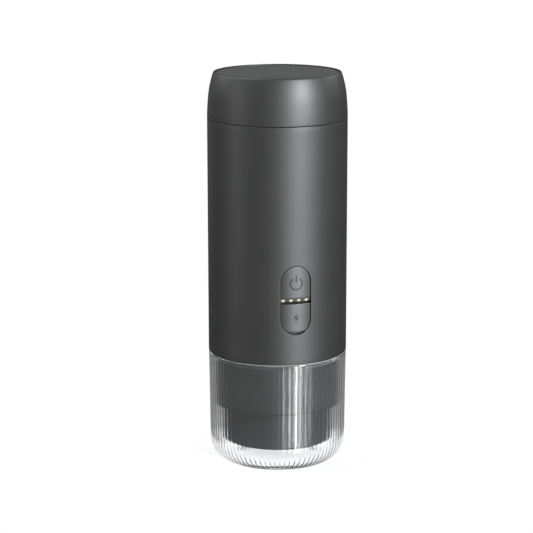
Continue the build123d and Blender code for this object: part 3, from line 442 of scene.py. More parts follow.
finishes = {
    "graphite": {   # finely blasted and dyed aluminium of housing and lid
        "color": grey(0.085), "second": grey(0.09), "cloud": 60, "grain": 5200, "rough": (0.455, 0.495),
        "depth": 2e-6, "metal": 0.9, "edge": 0.3,
    },
    "spunGraphite": {   # lid's top disc, turned on a lathe
        "color": grey(0.095), "second": grey(0.102), "cloud": 60, "grain": 1600, "rough": (0.48, 0.58),
        "depth": 3e-6, "metal": 0.9, "edge": 0.4, "lathe": True,
    },
    "keyGraphite": {   # key and port cover, a little paler than the housing
        "color": grey(0.105), "second": grey(0.112), "cloud": 200, "grain": 6000, "rough": (0.42, 0.46),
        "depth": 1e-6, "metal": 0.9, "edge": 0.3,
    },
    "sunkInk": {   # dark filling of the engraved marks
        "color": grey(0.012), "second": grey(0.016), "cloud": 800, "grain": 9000, "rough": (0.5, 0.6),
        "depth": 2e-6,
    },
    "darkMoulding": {   # black moulded plastic
        "color": grey(0.022), "second": grey(0.026), "cloud": 120, "grain": 3800, "rough": (0.42, 0.5),
        "depth": 2e-6,
    },
    "satinMoulding": {   # collar and bowl, moulded to match the housing
        "color": grey(0.052), "second": grey(0.056), "cloud": 120, "grain": 3800, "rough": (0.34, 0.38),
        "depth": 2e-6, "metal": 0.75, "edge": 0.4,
    },
    "softBlack": {   # silicone and rubber
        "color": grey(0.018), "second": grey(0.024), "cloud": 200, "grain": 4200, "rough": (0.6, 0.75),
        "depth": 3e-5, "sheen": 0.1,
    },
    "clearCup": {   # glass-clear moulding with a pale band painted along its rim as a highlight
        "color": (0.985, 0.993, 1.0), "second": (0.975, 0.988, 0.998), "cloud": 20, "grain": 300,
        "rough": (0.0, 0.002), "depth": 2e-8, "strength": 0.01, "clear": 1.0,
        "paintedRimHighlight": (0.0579, 0.0585, 0.34),    # heights in metres where the painted rim highlight starts and is full, and how much of it
    },
    "oliveGuide": {   # smoky strip that the lamps sit in
        "color": (0.045, 0.043, 0.025), "second": (0.09, 0.086, 0.055), "cloud": 900, "grain": 3000,
        "rough": (0.4, 0.5), "depth": 4e-6, "clear": 0.15, "specular": 0.3,
    },
    "warmLamp": {
        "color": (0.48, 0.50, 0.38), "second": (0.42, 0.44, 0.33), "cloud": 1500, "grain": 4000,
        "rough": (0.4, 0.5), "depth": 3e-6, "glow": 0.04, "specular": 0.2,
    },
    "spunSteel": {   # deep-drawn and polished steel with rings left by the lathe
        "color": grey(0.62), "second": grey(0.56), "cloud": 90, "grain": 900, "rough": (0.2, 0.34),
        "depth": 4e-6, "metal": 1.0, "lathe": True,
    },
    "brushedSteel": {
        "color": grey(0.62), "second": grey(0.56), "cloud": 90, "grain": 900, "stretch": (1, 1, 12),
        "rough": (0.22, 0.36), "depth": 6e-6, "metal": 1.0,
    },
    "platedSheet": {   # nickel-plated sheet of the socket, dull from its press tool
        "color": grey(0.36), "second": grey(0.31), "cloud": 500, "grain": 4200, "rough": (0.42, 0.55),
        "depth": 6e-6, "metal": 1.0,
    },
    "castGrey": {
        "color": grey(0.42), "second": grey(0.36), "cloud": 160, "grain": 1500, "rough": (0.45, 0.65),
        "depth": 3e-5, "metal": 0.9,
    },
    "brass": {
        "color": (0.62, 0.42, 0.16), "second": (0.55, 0.36, 0.13), "cloud": 300, "grain": 2400,
        "rough": (0.25, 0.4), "depth": 1e-5, "metal": 1.0,
    },
    "milkSilicone": {
        "color": (0.62, 0.63, 0.62), "second": (0.56, 0.57, 0.56), "cloud": 200, "grain": 2600,
        "rough": (0.45, 0.6), "depth": 1e-5, "clear": 0.15,
    },
    "cellWrap": {
        "color": (0.05, 0.13, 0.30), "second": (0.04, 0.11, 0.26), "cloud": 60, "grain": 800,
        "rough": (0.25, 0.35), "depth": 1e-5,
    },
    "boardGreen": {
        "color": (0.015, 0.10, 0.05), "second": (0.02, 0.13, 0.065), "cloud": 700, "grain": 2200,
        "rough": (0.3, 0.45), "depth": 1e-5,
    },
    "wireRed": {
        "color": (0.35, 0.03, 0.02), "second": (0.28, 0.025, 0.02), "cloud": 300, "grain": 2500,
        "rough": (0.4, 0.55), "depth": 1e-5,
    },
}
finish = {name: surface(name, values) for name, values in finishes.items()}
print("finishes:", len(finish))


# Clear drinking cup

cup = {
    "rimHeight": 58.7, "rimRadius": 35.4, "draft": 0.012, "wall": 2.5, "floor": 3.0, "corner": 12.4, "rimEase": 0.9,
    # the foot: ring that it stands on, height of the hollow inside it, radii of its middle's rows, and rows of the
    # step between hollow and ring: how far in from the ring, share of the hollow's height
    "footRing": 20.6, "hollow": 0.35, "hollowRows": (0, 8, 14),
    "footSteps": [(0.8, 1.0), (0.55, 0.85), (0.25, 0.15), (0.0, 0.0)],
    # the flutes: the section's shape is depth * (1 - |u|^power); phase turns them by a share of one flute
    "flutes": 76, "fluteDepth": 0.07, "flutePower": 3, "phase": 0.25, "sidesPerFlute": 16,
    "fluteTop": 55.5, "fluteEase": 0.8,             # height where they begin, and half the height that it takes
    "cornerGain": 2.9, "gainSweep": 30,             # times deeper in the round corner, after so many degrees of it
    "fluteRunOut": 58.0, "runOutSweep": 14,         # degrees round the corner where they end, and that it takes
    "wallRows": (48, 40, 32, 24), "cornerRows": 20, "rimRows": 13, "floorRows": 5, "smoothAngle": 70.0,
}


def outerRadius(v, z):
    # the drafted outer wall: rim radius - draft * depth below the rim
    return v["rimRadius"] - v["draft"] * (v["rimHeight"] - z)


def cupProfile(v):
    # hollow base with a foot ring, quarter round, drafted wall, rounded rim, and the same again inside on the way
    # back; beside the points, how deep a flute is there and how far its cut leans from level to straight down
    low, ease = v["corner"], v["fluteEase"]
    bend = np.radians(np.linspace(0, 90, v["cornerRows"]))
    step = np.array(v["footSteps"])
    base = np.concatenate([
        [(r, v["hollow"]) for r in v["hollowRows"]],
        np.stack([v["footRing"] - step[:, 0], v["hollow"] * step[:, 1]], -1),
    ])
    outerBend = np.stack([outerRadius(v, low) - low + low * np.sin(bend), low - low * np.cos(bend)], -1)
    top = v["rimHeight"] - v["rimEase"]
    outerRows = np.linspace(low, top, 5)
    outerWall = np.stack([outerRadius(v, outerRows), outerRows], -1)
    halfTurn = np.radians(np.linspace(0, 180, v["rimRows"]))
    half = v["wall"] / 2
    rim = np.stack([v["rimRadius"] - half + half * np.cos(halfTurn), top + v["rimEase"] * np.sin(halfTurn)], -1)
    inner = low - v["floor"]
    heights = np.concatenate([
        [top, v["fluteTop"] + 1], v["fluteTop"] - np.linspace(-ease, ease, 5), v["wallRows"], [low],
    ])
    innerWall = np.stack([outerRadius(v, heights) - v["wall"], heights], -1)
    bendDown = bend[::-1]
    innerMiddle = outerRadius(v, low) - v["wall"] - inner
    innerBend = np.stack([innerMiddle + inner * np.sin(bendDown), low - inner * np.cos(bendDown)], -1)
    innerFloor = np.stack([np.linspace(innerBend[-1, 0], 0, v["floorRows"]), np.full(v["floorRows"], v["floor"])], -1)
    parts = [base, outerBend, outerWall[1:], rim[1:], innerWall[1:], innerBend[1:], innerFloor[1:]]
    outside = np.zeros(sum(len(part) for part in parts[:4]))
    wall, middle = np.zeros(len(innerWall) - 1), np.zeros(len(innerFloor) - 1)
    swept = 90 - np.degrees(bendDown[1:])
    gain = 1 + (v["cornerGain"] - 1) * np.clip(swept / v["gainSweep"], 0, 1)
    begin = np.sqrt(np.clip((v["fluteTop"] + ease - heights[1:]) / (2 * ease), 0, 1))
    end = np.sqrt(np.clip((v["fluteRunOut"] - swept) / v["runOutSweep"], 0, 1))
    depth = np.concatenate([outside, begin, gain * end, middle])
    lean = np.concatenate([outside, wall, np.pi / 2 - bendDown[1:], middle])
    return np.concatenate(parts), depth * v["fluteDepth"], lean


def makeCup(v):
    # the section is turned about the axis; on the inner wall each flute is cut outwards by
    # depth * (1 - |u|^power), u running from -1 to 1 across the flute: nearly flat with narrow crests between
    profile, depth, lean = cupProfile(v)
    each = v["sidesPerFlute"]
    sides = v["flutes"] * each
    angle = np.arange(sides) * turn / sides
    u = ((np.arange(sides) - v["phase"] * each) % each - each / 2) / (each / 2)
    push = depth[:, None] * (1 - np.abs(u) ** v["flutePower"])[None]
    r = profile[:, :1] + push * np.cos(lean)[:, None]
    z = profile[:, 1:] - push * np.sin(lean)[:, None]
    obj = meshObject("clearCup", roundAxis(r, angle, z), gridQuads(len(profile), sides), v["smoothAngle"])
    obj.visible_shadow = False      # lamps light the collar through the clear wall
    return obj


finished(makeCup(cup), "clearCup", "cup", ["cup"])
print("cup made")


# Collar that reaches down into the cup, and the silicone band round it

collar = {
    "inside": 29.2, "outside": 31.4, "low": 31.2, "flangeLow": 58.9, "flangeHigh": 61.5, "flange": 33.8,
    "ledge": 27.6, "ledgeHigh": 57.5, "ledgeLow": 55.5, "ledgeSlope": 1.6,
    "grooveLow": 31.7, "grooveHigh": 32.5, "grooveDeep": 0.55, "grooveSlope": 0.1,
}
collarThread = {
    **threadShape, "radius": 29.2, "side": -1, "tall": 0.72, "low": 33.4, "high": 39.4, "turned": 45,
}
grip = {"inside": 31.45, "outside": 32.6, "low": 55.2, "high": 57.8, "bevel": 1.0, "longest": 1.0}


def makeCollar(v):
    # skirt with a shadow groove, flange and inner ledge in one turned outline with eased edges
    groove = v["outside"] - v["grooveDeep"]
    profile = easedProfile([
        (v["inside"], v["low"], 0.3), (v["outside"], v["low"], 0.2), (v["outside"], v["grooveLow"], 0.1),
        (groove, v["grooveLow"] + v["grooveSlope"], 0.05), (groove, v["grooveHigh"] - v["grooveSlope"], 0.05),
        (v["outside"], v["grooveHigh"], 0.1), (v["outside"], v["flangeLow"], 0.1),
        (v["flange"], v["flangeLow"], 0.2), (v["flange"], v["flangeHigh"], 0.3), (v["inside"], v["flangeHigh"], 0.1),
        (v["inside"], v["ledgeHigh"], 0.1), (v["ledge"], v["ledgeHigh"], 0.2), (v["ledge"], v["ledgeLow"], 0.2),
        (v["inside"], v["ledgeLow"] - v["ledgeSlope"], 0.3),
    ])
    return turned("collarSkirt", refine(profile))


def makeGrip(v):
    # band whose lower edge is bevelled to lead the cup on
    profile = easedProfile([
        (v["inside"], v["low"], 0.15), (v["outside"], v["low"] + v["bevel"], 0.3),
        (v["outside"], v["high"], 0.35), (v["inside"], v["high"], 0.15),
    ])
    return turned("cupGrip", refine(profile, v["longest"]))


finished(makeCollar(collar), "satinMoulding", "machine", ["base_cover"])
finished(threadRidges("collarThread", collarThread), "satinMoulding", "machine", ())
finished(makeGrip(grip), "softBlack", "machine", ["cup_ring"])
print("collar made")


# Brewing bowl with its thread and spout

bowl = {
    "radius": 27.9, "inside": 25.5, "low": 12.0, "high": 44.7, "floorHigh": 14.0, "seat": 25.8, "seatLow": 43.8,
    "shoulder": 23.0, "shoulderLow": 41.8, "shoulderSlope": 2.0, "spout": 4.5, "spoutBore": 2.5, "spoutLow": 10.5,
    "corner": 1.4, "innerCorner": 3.2,
}
bowlThread = {
    **threadShape, "radius": 27.9, "side": 1, "tall": 0.72, "low": 38.4, "high": 43.4, "turned": 75,
}


def makeBowl(v):
    # bowl wall, basket shoulder and drilled spout in one turned outline
    profile = easedProfile([
        (v["spoutBore"], v["spoutLow"], 0.4), (v["spout"], v["spoutLow"], 0.5), (v["spout"], v["low"], 0.6),
        (v["radius"], v["low"], v["corner"]), (v["radius"], v["high"], 0.35), (v["seat"], v["high"], 0.15),
        (v["seat"], v["seatLow"], 0.1), (v["shoulder"], v["seatLow"], 0.3), (v["shoulder"], v["shoulderLow"], 0.3),
        (v["inside"], v["shoulderLow"] - v["shoulderSlope"], 0.4), (v["inside"], v["floorHigh"], v["innerCorner"]),
        (v["spoutBore"], v["floorHigh"], 0.6),
    ])
    return turned("brewBowl", refine(profile))


finished(makeBowl(bowl), "satinMoulding", "brew_bowl", ["brew_bowl"])
finished(threadRidges("bowlThread", bowlThread), "satinMoulding", "brew_bowl", ())
print("bowl made")


# Coffee basket and gasket

basket = {
    "radius": 22.4, "low": 21.3, "floor": 22.2, "lip": 1.6, "wall": 0.8, "rim": 25.6, "top": 45.0, "shoulder": 43.8,
    "neck": 1.1, "sides": 192,
}
gasket = {"inside": 21.0, "outside": 25.3, "low": 45.0, "high": 47.0, "ease": 0.35, "sides": 192}


def makeBasket(v):
    # drawn cup with a rolled rim and an inturned lip, one wall thick all the way
    lip, inner = v["low"] - v["lip"], v["floor"] + v["wall"]
    profile = easedProfile([
        (lip, v["floor"], 0.1), (v["low"], v["floor"], 0.7), (v["radius"], v["shoulder"] - v["neck"], 0.2),
        (v["radius"], v["shoulder"], 0.2), (v["rim"], v["shoulder"], 0.3), (v["rim"], v["top"], 0.4),
        (v["radius"] - v["wall"], v["top"], 0.6), (v["low"] - v["wall"], inner, 0.4), (lip, inner, 0.1),
    ])
    return turned("coffeeBasket", refine(profile), v["sides"])


finished(makeBasket(basket), "spunSteel", "coffee_basket", ["coffee_basket"])
finished(flatRing("groupGasket", gasket), "milkSilicone", "machine", ["group_gasket"])
print("basket made")


# Housing tube with its long window

housing = {
    "radius": 35.5, "bore": 34.0, "low": 58.7, "high": 178.6, "edge": 0.25, "sides": 384,
    "windowMiddle": 91.65, "windowHalfHeight": 17.55, "windowHalfWidth": 7.85, "windowEdge": 0.2,
    # the grid's rectangle that gives way to the window: columns and millimetres to each side of its middle; the
    # rows of the grid below, beside and above it; how much of the way the rings keep from window to rectangle
    "cutColumns": 22, "cutReach": 22.5, "rowsBelow": 6, "rowsBeside": 31, "rowsAbove": 22,
    "ringShares": (0.92, 0.8, 0.6, 0.35, 0.15), "wallRings": (0.6, 1.1), "smoothAngle": 50.0,
}


def windowOutline(v, x, z):
    # nearest point of the upright stadium: the end circles' middle line is the segment |z| < half height - half width
    reach = v["windowHalfHeight"] - v["windowHalfWidth"]
    middle = np.clip(z - v["windowMiddle"], -reach, reach) + v["windowMiddle"]
    away = np.stack([x, z - middle], -1)
    away = away / np.linalg.norm(away, axis=-1, keepdims=True)
    return np.stack([np.zeros_like(x), middle], -1), away


def tubeProfile(v):
    # up the outer wall, over the eased upper edge, down the bore, round the lower edge; also the outer row count
    low, high, edge = v["low"], v["high"], v["edge"]
    cutLow, cutHigh = v["windowMiddle"] - v["cutReach"], v["windowMiddle"] + v["cutReach"]
    rows = np.concatenate([
        np.linspace(low + edge, cutLow, v["rowsBelow"]), np.linspace(cutLow, cutHigh, v["rowsBeside"])[1:],
        np.linspace(cutHigh, high - edge, v["rowsAbove"])[1:],
    ])
    bend = np.radians(np.linspace(0, 90, 6))[1:]
    near, far = edge * (1 - np.cos(bend)), edge * (1 - np.sin(bend))
    outer = np.stack([np.full(len(rows), v["radius"]), rows], -1)
    topOut = np.stack([v["radius"] - near, high - far], -1)
    topIn = np.stack([v["bore"] + far, high - near], -1)
    inner = np.stack([np.full(len(rows), v["bore"]), rows[::-1]], -1)
    bottomIn = np.stack([v["bore"] + near, low + far], -1)
    bottomOut = np.stack([v["radius"] - far, low + near], -1)
    innerStart = len(outer) + len(topOut) + len(topIn) - 1      # index of the inner wall's highest row
    return np.concatenate([outer, topOut, topIn, inner[1:], bottomIn, bottomOut[:-1]]), len(rows), innerStart


def makeHousing(v):
    # a grid of columns round and rows up, outside and inside; the cells in front of the window give way to
    # rings that lead from the grid's rectangle to the window's outline and through the wall
    profile, rowCount, innerStart = tubeProfile(v)
    sides, half = v["sides"], v["cutColumns"]
    first = v["rowsBelow"] - 1
    last = first + v["rowsBeside"] - 1
    angle = np.arange(sides) * turn / sides - math.pi / 2
    points = roundAxis(profile[:, :1], angle, profile[:, 1:]).reshape(-1, 3)
    quads = gridQuads(len(profile), sides, True)
    row, column = quads[:, 0] // sides, quads[:, 0] % sides
    inFront = (column < half) | (column >= sides - half)
    innerEnd = innerStart + rowCount - 1
    outside, inside = (row >= first) & (row < last), (row >= innerEnd - last) & (row < innerEnd - first)
    quads = quads[~(inFront & (outside | inside))]
    # the rectangle's edge, walked once round
    across, up = np.arange(-half, half), np.arange(first, last)
    walkColumn = np.concatenate([across, np.full(len(up), half), -across, np.full(len(up), -half)]) % sides
    walkRow = np.concatenate([np.full(2 * half, first), up, np.full(2 * half, last), up[::-1] + 1])
    outerLoop = walkRow * sides + walkColumn
    innerLoop = (innerEnd - walkRow) * sides + walkColumn
    # rings on the front, round the eased edge, through the wall and on the back: places (x, z), then depths
    start = points[outerLoop]
    base, away = windowOutline(v, start[:, 0], start[:, 2])
    ease, thick = v["windowEdge"], v["radius"] - v["bore"]
    onEdge, onWall = base + away * (v["windowHalfWidth"] + ease), base + away * v["windowHalfWidth"]
    share = np.array(v["ringShares"])[:, None, None]
    bend = np.radians(np.linspace(0, 90, 7))
    sink = np.array([*v["wallRings"], thick])
    flat = np.concatenate([
        onEdge + (start[:, [0, 2]] - onEdge) * share,
        onEdge - away * (ease * np.sin(bend))[:, None, None],
        np.repeat(onWall[None], len(sink), 0),
        onWall + (start[:, [0, 2]] - onWall) * share[::-1],
    ])
    depth = np.concatenate([np.zeros(len(share)), ease * (1 - np.cos(bend)), sink, np.full(len(share), thick)])
    y = -np.sqrt((v["radius"] - depth[:, None]) ** 2 - flat[..., 0] ** 2)
    extra = np.stack([flat[..., 0], y, flat[..., 1]], -1)
    rings, count = y.shape
    table = np.concatenate([
        outerLoop[None], len(points) + np.arange(rings * count).reshape(rings, count), innerLoop[None]
    ])
    following = np.roll(table, -1, 1)
    ringQuads = np.stack([table[:-1], following[:-1], following[1:], table[1:]], -1).reshape(-1, 4)
    allPoints = np.concatenate([points, extra.reshape(-1, 3)])
    return meshObject("housingTube", allPoints, np.concatenate([quads, ringQuads]), v["smoothAngle"])


finished(makeHousing(housing), "graphite", "machine", ["outer_shell"])
print("housing made")


# Lid: tapered cap and inlaid top

lid = {
    "low": 178.8, "high": 202.0, "foot": 35.5, "footEdge": 0.25,
    # the cap's inside: wall, depth below the top where it bends in, then ledge and seat of the disc
    "wall": 1.5, "bendDepth": 10, "seat": 31.25, "ledge": 29.75, "ledgeThick": 1.4, "discFloor": 200.4,
    # the disc: how much its middle lies lower, and its upper edge as rows of (in from the side, below the top)
    "discRadius": 31.0, "discTop": 201.5, "dish": 0.05, "discFlat": 0.3, "lowEase": 0.1, "discRows": 40,
    "discEdge": [(0, 0.22), (0.03, 0.1), (0.1, 0.03), (0.22, 0)], "sides": 288, "longest": 2.0,
    # depth below the top and radius there, down the side
    "side": [(0.0, 31.7), (0.05, 31.95), (0.18, 32.15), (0.45, 32.35), (1, 32.55), (2, 32.87), (3, 33.16), (4, 33.44),
             (6, 33.93), (8, 34.33), (10, 34.65), (12, 34.89), (14, 35.06), (16, 35.20), (18, 35.33), (20, 35.43),
             (22, 35.49)],
}


def makeLidCap(v):
    # the side's radii are read at the given depths, the inside follows them one wall further in
    side = np.array(v["side"])
    high, base = v["high"], v["discFloor"]
    bend = np.radians(np.linspace(0, 90, 6))
    foot = np.stack([
        v["foot"] - v["footEdge"] * (1 - np.cos(bend)), v["low"] + v["footEdge"] * (1 - np.sin(bend))
    ], -1)
    outer = np.stack([side[:, 1], high - side[:, 0]], -1)
    radiusAtBend = np.interp(v["bendDepth"], side[:, 0], side[:, 1])
    inside = np.array([
        (v["foot"] - v["wall"], v["low"]), (radiusAtBend - v["wall"], high - v["bendDepth"]),
        (v["seat"], base - 2 * v["ledgeThick"]), (v["ledge"], base - v["ledgeThick"]),
        (v["ledge"], base), (v["seat"], base), (v["seat"], high),
    ])
    return turned("lidCap", refine(np.concatenate([outer, foot, inside]), v["longest"]), v["sides"])


def makeLidInlay(v):
    # disc with an eased edge, its face very slightly dished: height falls by the square of the radius
    radius, base = v["discRadius"], v["discFloor"]
    flatRadius = radius - v["discFlat"]
    across = np.linspace(flatRadius, 0, v["discRows"])
    face = np.stack([across, v["discTop"] - v["dish"] * (1 - (across / radius) ** 2)], -1)
    under = np.stack([np.linspace(0, flatRadius, 12), np.full(12, base)], -1)
    lowEdge = [(radius - v["lowEase"], base), (radius, base + v["lowEase"])]
    highEdge = (radius, v["discTop"]) - np.array(v["discEdge"])
    return turned("lidInlay", np.concatenate([under, lowEdge, highEdge, face]), v["sides"], False)


finished(makeLidCap(lid), "graphite", "lid", ["lid_shell"])
finished(makeLidInlay(lid), "spunGraphite", "lid", ["lid_disc"])
print("lid made")


# Tank's neck, the seal on it and the threads that hold the lid

neck = {
    "inside": 27.0, "low": 176.6, "flange": 33.8, "flangeHigh": 178.4, "outside": 29.8, "high": 188.0,
}
neckThread = {
    **threadShape, "radius": 29.8, "side": 1, "tall": 0.8, "low": 180.4, "high": 186.4, "turned": 0,
}
linerThread = {
    **threadShape, "radius": 31.2, "side": -1, "tall": 0.8, "low": 181.9, "high": 187.9, "turned": 0,
}
seal = {"inside": 26.8, "outside": 30.6, "low": 188.0, "high": 190.0, "ease": 0.4, "sides": 240}


def makeNeck(v):
    # flange that closes the housing and the spigot above it in one turned outline
    profile = easedProfile([
        (v["inside"], v["low"], 0.2), (v["flange"], v["low"], 0.3), (v["flange"], v["flangeHigh"], 0.4),
        (v["outside"], v["flangeHigh"], 0.5), (v["outside"], v["high"], 0.5), (v["inside"], v["high"], 0.7),
    ])
    return turned("tankNeck", refine(profile))


finished(makeNeck(neck), "darkMoulding", "machine", ["tank_neck"])
finished(threadRidges("neckThread", neckThread), "darkMoulding", "machine", ())
finished(threadRidges("linerThread", linerThread), "darkMoulding", "lid", ())
finished(flatRing("lidSeal", seal), "milkSilicone", "lid_gasket", ["lid_gasket"])
print("neck made")


# Front panel: power key, cover of the charging socket, their marks and the row of lamps

panel = {
    "middle": 91.65, "halfHeight": 17.46, "halfWidth": 7.72, "face": 35.46, "crown": 0.52, "crownPower": 2.6,
    "keyLow": 92.95, "coverHigh": 90.05, "corner": 0.32, "keyThick": 1.3, "coverThick": 1.35,
    "notchX": 0.5, "notchRadius": 26.0, "notchHigh": 75.6, "outlinePoints": 420,
    # rings of key and cover from their rim to their middle: share towards the middle, inset, depth behind the face
    "rimRings": [
        (0.0, 0.0, 0.75), (0.0, 0.0, 0.3), (0.0, 0.02, 0.19), (0.0, 0.07, 0.1), (0.0, 0.14, 0.04), (0.0, 0.22, 0.01),
        (0.0, 0.3, 0.0),
    ],
    "faceInset": 0.3, "faceShares": (0.06, 0.12, 0.2, 0.3, 0.4, 0.5, 0.6, 0.7, 0.8, 0.9),
    "backShares": (1.0, 0.6, 0.3, 0.0),
}


def faceAt(v, x):
    # the panel's face: the housing's round front, falling away from its middle by a power of the side distance
    return v["crown"] * (np.abs(x) / v["halfWidth"]) ** v["crownPower"] - np.sqrt(v["face"] ** 2 - x ** 2)


def evenLoop(outline, count):
    # a closed outline read at even steps of its length
    loop = np.vstack([outline, outline[:1]])
    along = np.concatenate([[0], np.cumsum(np.linalg.norm(np.diff(loop, axis=0), axis=1))])
    at = np.arange(count) * along[-1] / count
    return np.stack([np.interp(at, along, loop[:, 0]), np.interp(at, along, loop[:, 1])], -1)


def halfStadium(v, cut, upper):
    # half round end and two straight sides up to a level cut with small round corners, anticlockwise
    end = v["halfHeight"] - v["halfWidth"]
    sign = 1 if upper else -1
    bend = np.radians(np.linspace(0, 180, 90))
    width = v["halfWidth"]
    arc = np.stack([width * np.cos(bend), sign * (end + width * np.sin(bend)) + v["middle"]], -1)
    quarter = np.radians(np.linspace(0, 90, 8))
    c = v["corner"]
    left = np.stack([c - width - c * np.cos(quarter), cut + sign * c * (1 - np.sin(quarter))], -1)
    right = left[::-1] * [-1, 1]
    outline = np.concatenate([arc, left, right])
    return evenLoop(outline if upper else outline[::-1], v["outlinePoints"])


def nailNotch(v, outline):
    # the low end of the outline is lifted onto a shallow arc: lowest height + side distance squared / (2 * radius)
    arc = v["notchHigh"] + (outline[:, 0] - v["notchX"]) ** 2 / (2 * v["notchRadius"])
    return np.stack([outline[:, 0], np.maximum(outline[:, 1], arc)], -1)


def panelPiece(name, v, outline, thick):
    # rings of the outline, each shrunk towards its middle by a share and moved in by an inset, laid on the face
    backRings = [(share, 0.0, thick) for share in v["backShares"]]
    faceRings = [(share, v["faceInset"], 0.0) for share in v["faceShares"]]
    rings = np.array(backRings + v["rimRings"] + faceRings + [(1.0, 0.0, 0.0)])
    centre = (outline.max(0) + outline.min(0)) / 2
    ahead = np.roll(outline, -1, 0) - np.roll(outline, 1, 0)
    inward = np.stack([-ahead[:, 1], ahead[:, 0]], -1)
    inward /= np.linalg.norm(inward, axis=1, keepdims=True)
    shrink, inset, depth = rings[:, 0][:, None, None], rings[:, 1][:, None, None], rings[:, 2][:, None]
    flat = centre + (outline[None] + inward[None] * inset - centre) * (1 - shrink)
    points = np.stack([flat[..., 0], depth + faceAt(v, flat[..., 0]), flat[..., 1]], -1)
    return meshObject(name, points, gridQuads(len(rings), len(outline)))


inlay = {"lift": 0.02, "bury": 0.12, "across": (0, 0.25, 0.5, 0.75, 1.0)}      # how marks lie in their piece


def markStrip(name, v, left, right):
    # a thin inlay between two lines of points (x, z): its front lies on the face, its back is sunk into the piece
    share = np.array(inlay["across"])
    front = left[:, None] + (right - left)[:, None] * share[:, None]
    flat = np.concatenate([front, front[:, ::-1]], 1)
    depth = np.repeat([-inlay["lift"], inlay["bury"]], len(share))
    points = np.stack([flat[..., 0], depth + faceAt(v, flat[..., 0]), flat[..., 1]], -1)
    return meshObject(name, points, gridQuads(len(left), len(depth)))


def strokeSides(path, halfWidth):
    # the two sides of a line of even width with half-round ends, which run out on the line itself
    ahead = np.gradient(path, axis=0)
    ahead /= np.linalg.norm(ahead, axis=1, keepdims=True)
    side = np.stack([-ahead[:, 1], ahead[:, 0]], -1)
    along = np.concatenate([[0], np.cumsum(np.linalg.norm(np.diff(path, axis=0), axis=1))])
    nearEnd = np.clip(np.minimum(along, along[-1] - along) / halfWidth, 0, 1)
    width = (halfWidth * np.sqrt(1 - (1 - nearEnd) ** 2))[:, None]
    return path - side * width, path + side * width


powerMark = {
    "z": 100.4, "radius": 3.02, "gap": 30.0, "halfWidth": 0.34, "barLow": 0.6, "barHigh": 4.4,
    "ringPoints": 120, "barPoints": 40,
}
chargeMark = {
    "z": 82.9, "points": 46,
    # left and right side of a plain lightning flash, from its upper tip to its lower one
    "left": [(0.75, 2.6), (-1.45, -0.35), (-0.1, -0.35), (-0.75, -2.6)],
    "right": [(0.75, 2.6), (0.1, 0.35), (1.45, 0.35), (-0.75, -2.6)],
}


def makePowerMark(v):
    # open ring: centre + radius at angles that leave the gap at the top; the bar is a straight line
    angle = np.radians(np.linspace(90 + v["gap"], 450 - v["gap"], v["ringPoints"]))
    ring = np.stack([v["radius"] * np.cos(angle), v["z"] + v["radius"] * np.sin(angle)], -1)
    barRows = np.linspace(v["barLow"], v["barHigh"], v["barPoints"])
    bar = np.stack([np.zeros_like(barRows), v["z"] + barRows], -1)
    return [
        markStrip("powerRing", panel, *strokeSides(ring, v["halfWidth"])),
        markStrip("powerBar", panel, *strokeSides(bar, v["halfWidth"])),
    ]


def makeChargeMark(v):
    # both sides of the flash are read at the same even steps between their corners
    corner = np.arange(len(v["left"]))
    at = np.linspace(0, corner[-1], v["points"])
    left, right = [
        np.stack([np.interp(at, corner, side[:, 0]), v["z"] + np.interp(at, corner, side[:, 1])], -1)
        for side in (np.array(v["left"]), np.array(v["right"]))
    ]
    return markStrip("chargeFlash", panel, left, right)


lampRow = {
    "count": 4, "spacing": 3.99, "middle": -0.42, "z": 91.68, "halfWidth": 0.82, "halfHeight": 0.62, "radius": 34.3,
    "dome": 0.12, "lift": 0.02, "bury": 0.1, "power": 3.0, "rings": 8, "sides": 40,
}


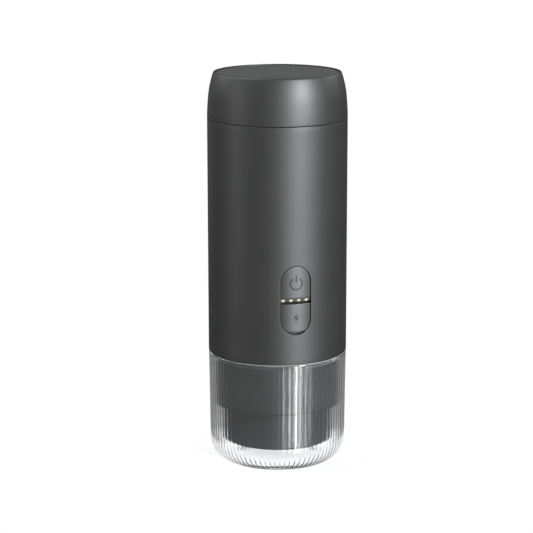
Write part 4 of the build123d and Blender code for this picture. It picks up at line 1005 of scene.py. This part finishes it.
def makeLampRow(v):
    # each lamp is a low lens on the strip: |x/a|^p + |z/b|^p = s^p at rings s, its height dome * (1 - s^2)
    ring, side = np.linspace(0, 1, v["rings"]), np.arange(v["sides"]) * turn / v["sides"]
    s, a = np.meshgrid(ring, side, indexing="ij")
    reach = (np.abs(np.cos(a)) ** v["power"] + np.abs(np.sin(a)) ** v["power"]) ** (-1 / v["power"])
    x = s * reach * np.cos(a) * v["halfWidth"]
    z = v["z"] + s * reach * np.sin(a) * v["halfHeight"]
    out = np.concatenate([v["dome"] * (1 - s ** 2) + v["lift"], np.full_like(s, -v["bury"])])
    x, z = np.concatenate([x, x[::-1]]), np.concatenate([z, z[::-1]])
    place = v["middle"] + (np.arange(v["count"]) - (v["count"] - 1) / 2) * v["spacing"]
    x = x[None] + place[:, None, None]
    out, z = np.broadcast_to(out, x.shape), np.broadcast_to(z, x.shape)
    points = np.stack([x, -np.sqrt(v["radius"] ** 2 - x ** 2) - out, z], -1)
    rows, sides = x.shape[1:]
    return meshObject("lampRow", points, repeated(gridQuads(rows, sides), rows * sides, v["count"]))


keyOutline = halfStadium(panel, panel["keyLow"], True)
coverOutline = nailNotch(panel, halfStadium(panel, panel["coverHigh"], False))
key = panelPiece("powerKey", panel, keyOutline, panel["keyThick"])
portCover = panelPiece("portCover", panel, coverOutline, panel["coverThick"])
finished(key, "keyGraphite", "power_button", ["power_button"])
finished(portCover, "keyGraphite", "usb_cover", ["usb_cover"])
for mark in makePowerMark(powerMark):
    finished(mark, "sunkInk", "power_button", ())
finished(makeChargeMark(chargeMark), "sunkInk", "usb_cover", ())
finished(makeLampRow(lampRow), "warmLamp", "machine", ())
print("panel made")


# Finishes of the pieces that keep their CAD form

kept = {
    "darkMoulding": ["group_head", "lid_liner", "panel_frame", "lower_tray", "upper_tray", "motor_end_cap",
                     "heater_standoffs", "tactile_switch", "idler_gear", "drive_gear"],
    "softBlack": ["shaft_seal", "board_parts", "cover_pin"],
    "milkSilicone": ["vent_valve", "tank_seal", "outlet_tube", "inlet_tube"],
    "spunSteel": ["water_tank", "shower_screen", "basket_screen", "motor_can"],
    "brushedSteel": ["shower_screw", "motor_shaft", "idler_pin", "pump_screws", "post_screws", "board_screws",
                     "battery_straps", "temperature_sensor", "heating_element"],
    "castGrey": ["heater_plate", "pump_body", "pump_cover"],
    "platedSheet": ["usb_socket"],
    "brass": ["tank_outlet", "tray_posts", "motor_terminals"],
    "cellWrap": ["battery_cell_1", "battery_cell_2", "battery_cell_3"],
    "boardGreen": ["main_board"],
    "warmLamp": ["led_chips"],
    "oliveGuide": ["light_bar"],
    "wireRed": ["battery_leads", "motor_leads", "heater_leads"],
}
for finishName, nodeNames in kept.items():
    for nodeName in nodeNames:
        dress(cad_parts[nodeName], finishName)
print("kept nodes dressed:", sum(len(group) for group in kept.values()))


# Studio

makeCamera(camera)
makeLamps(lamps)
makeWorld(room)
makeFloor(floor)
bpy.context.scene.view_settings.view_transform = "Standard"
print("studio ready")
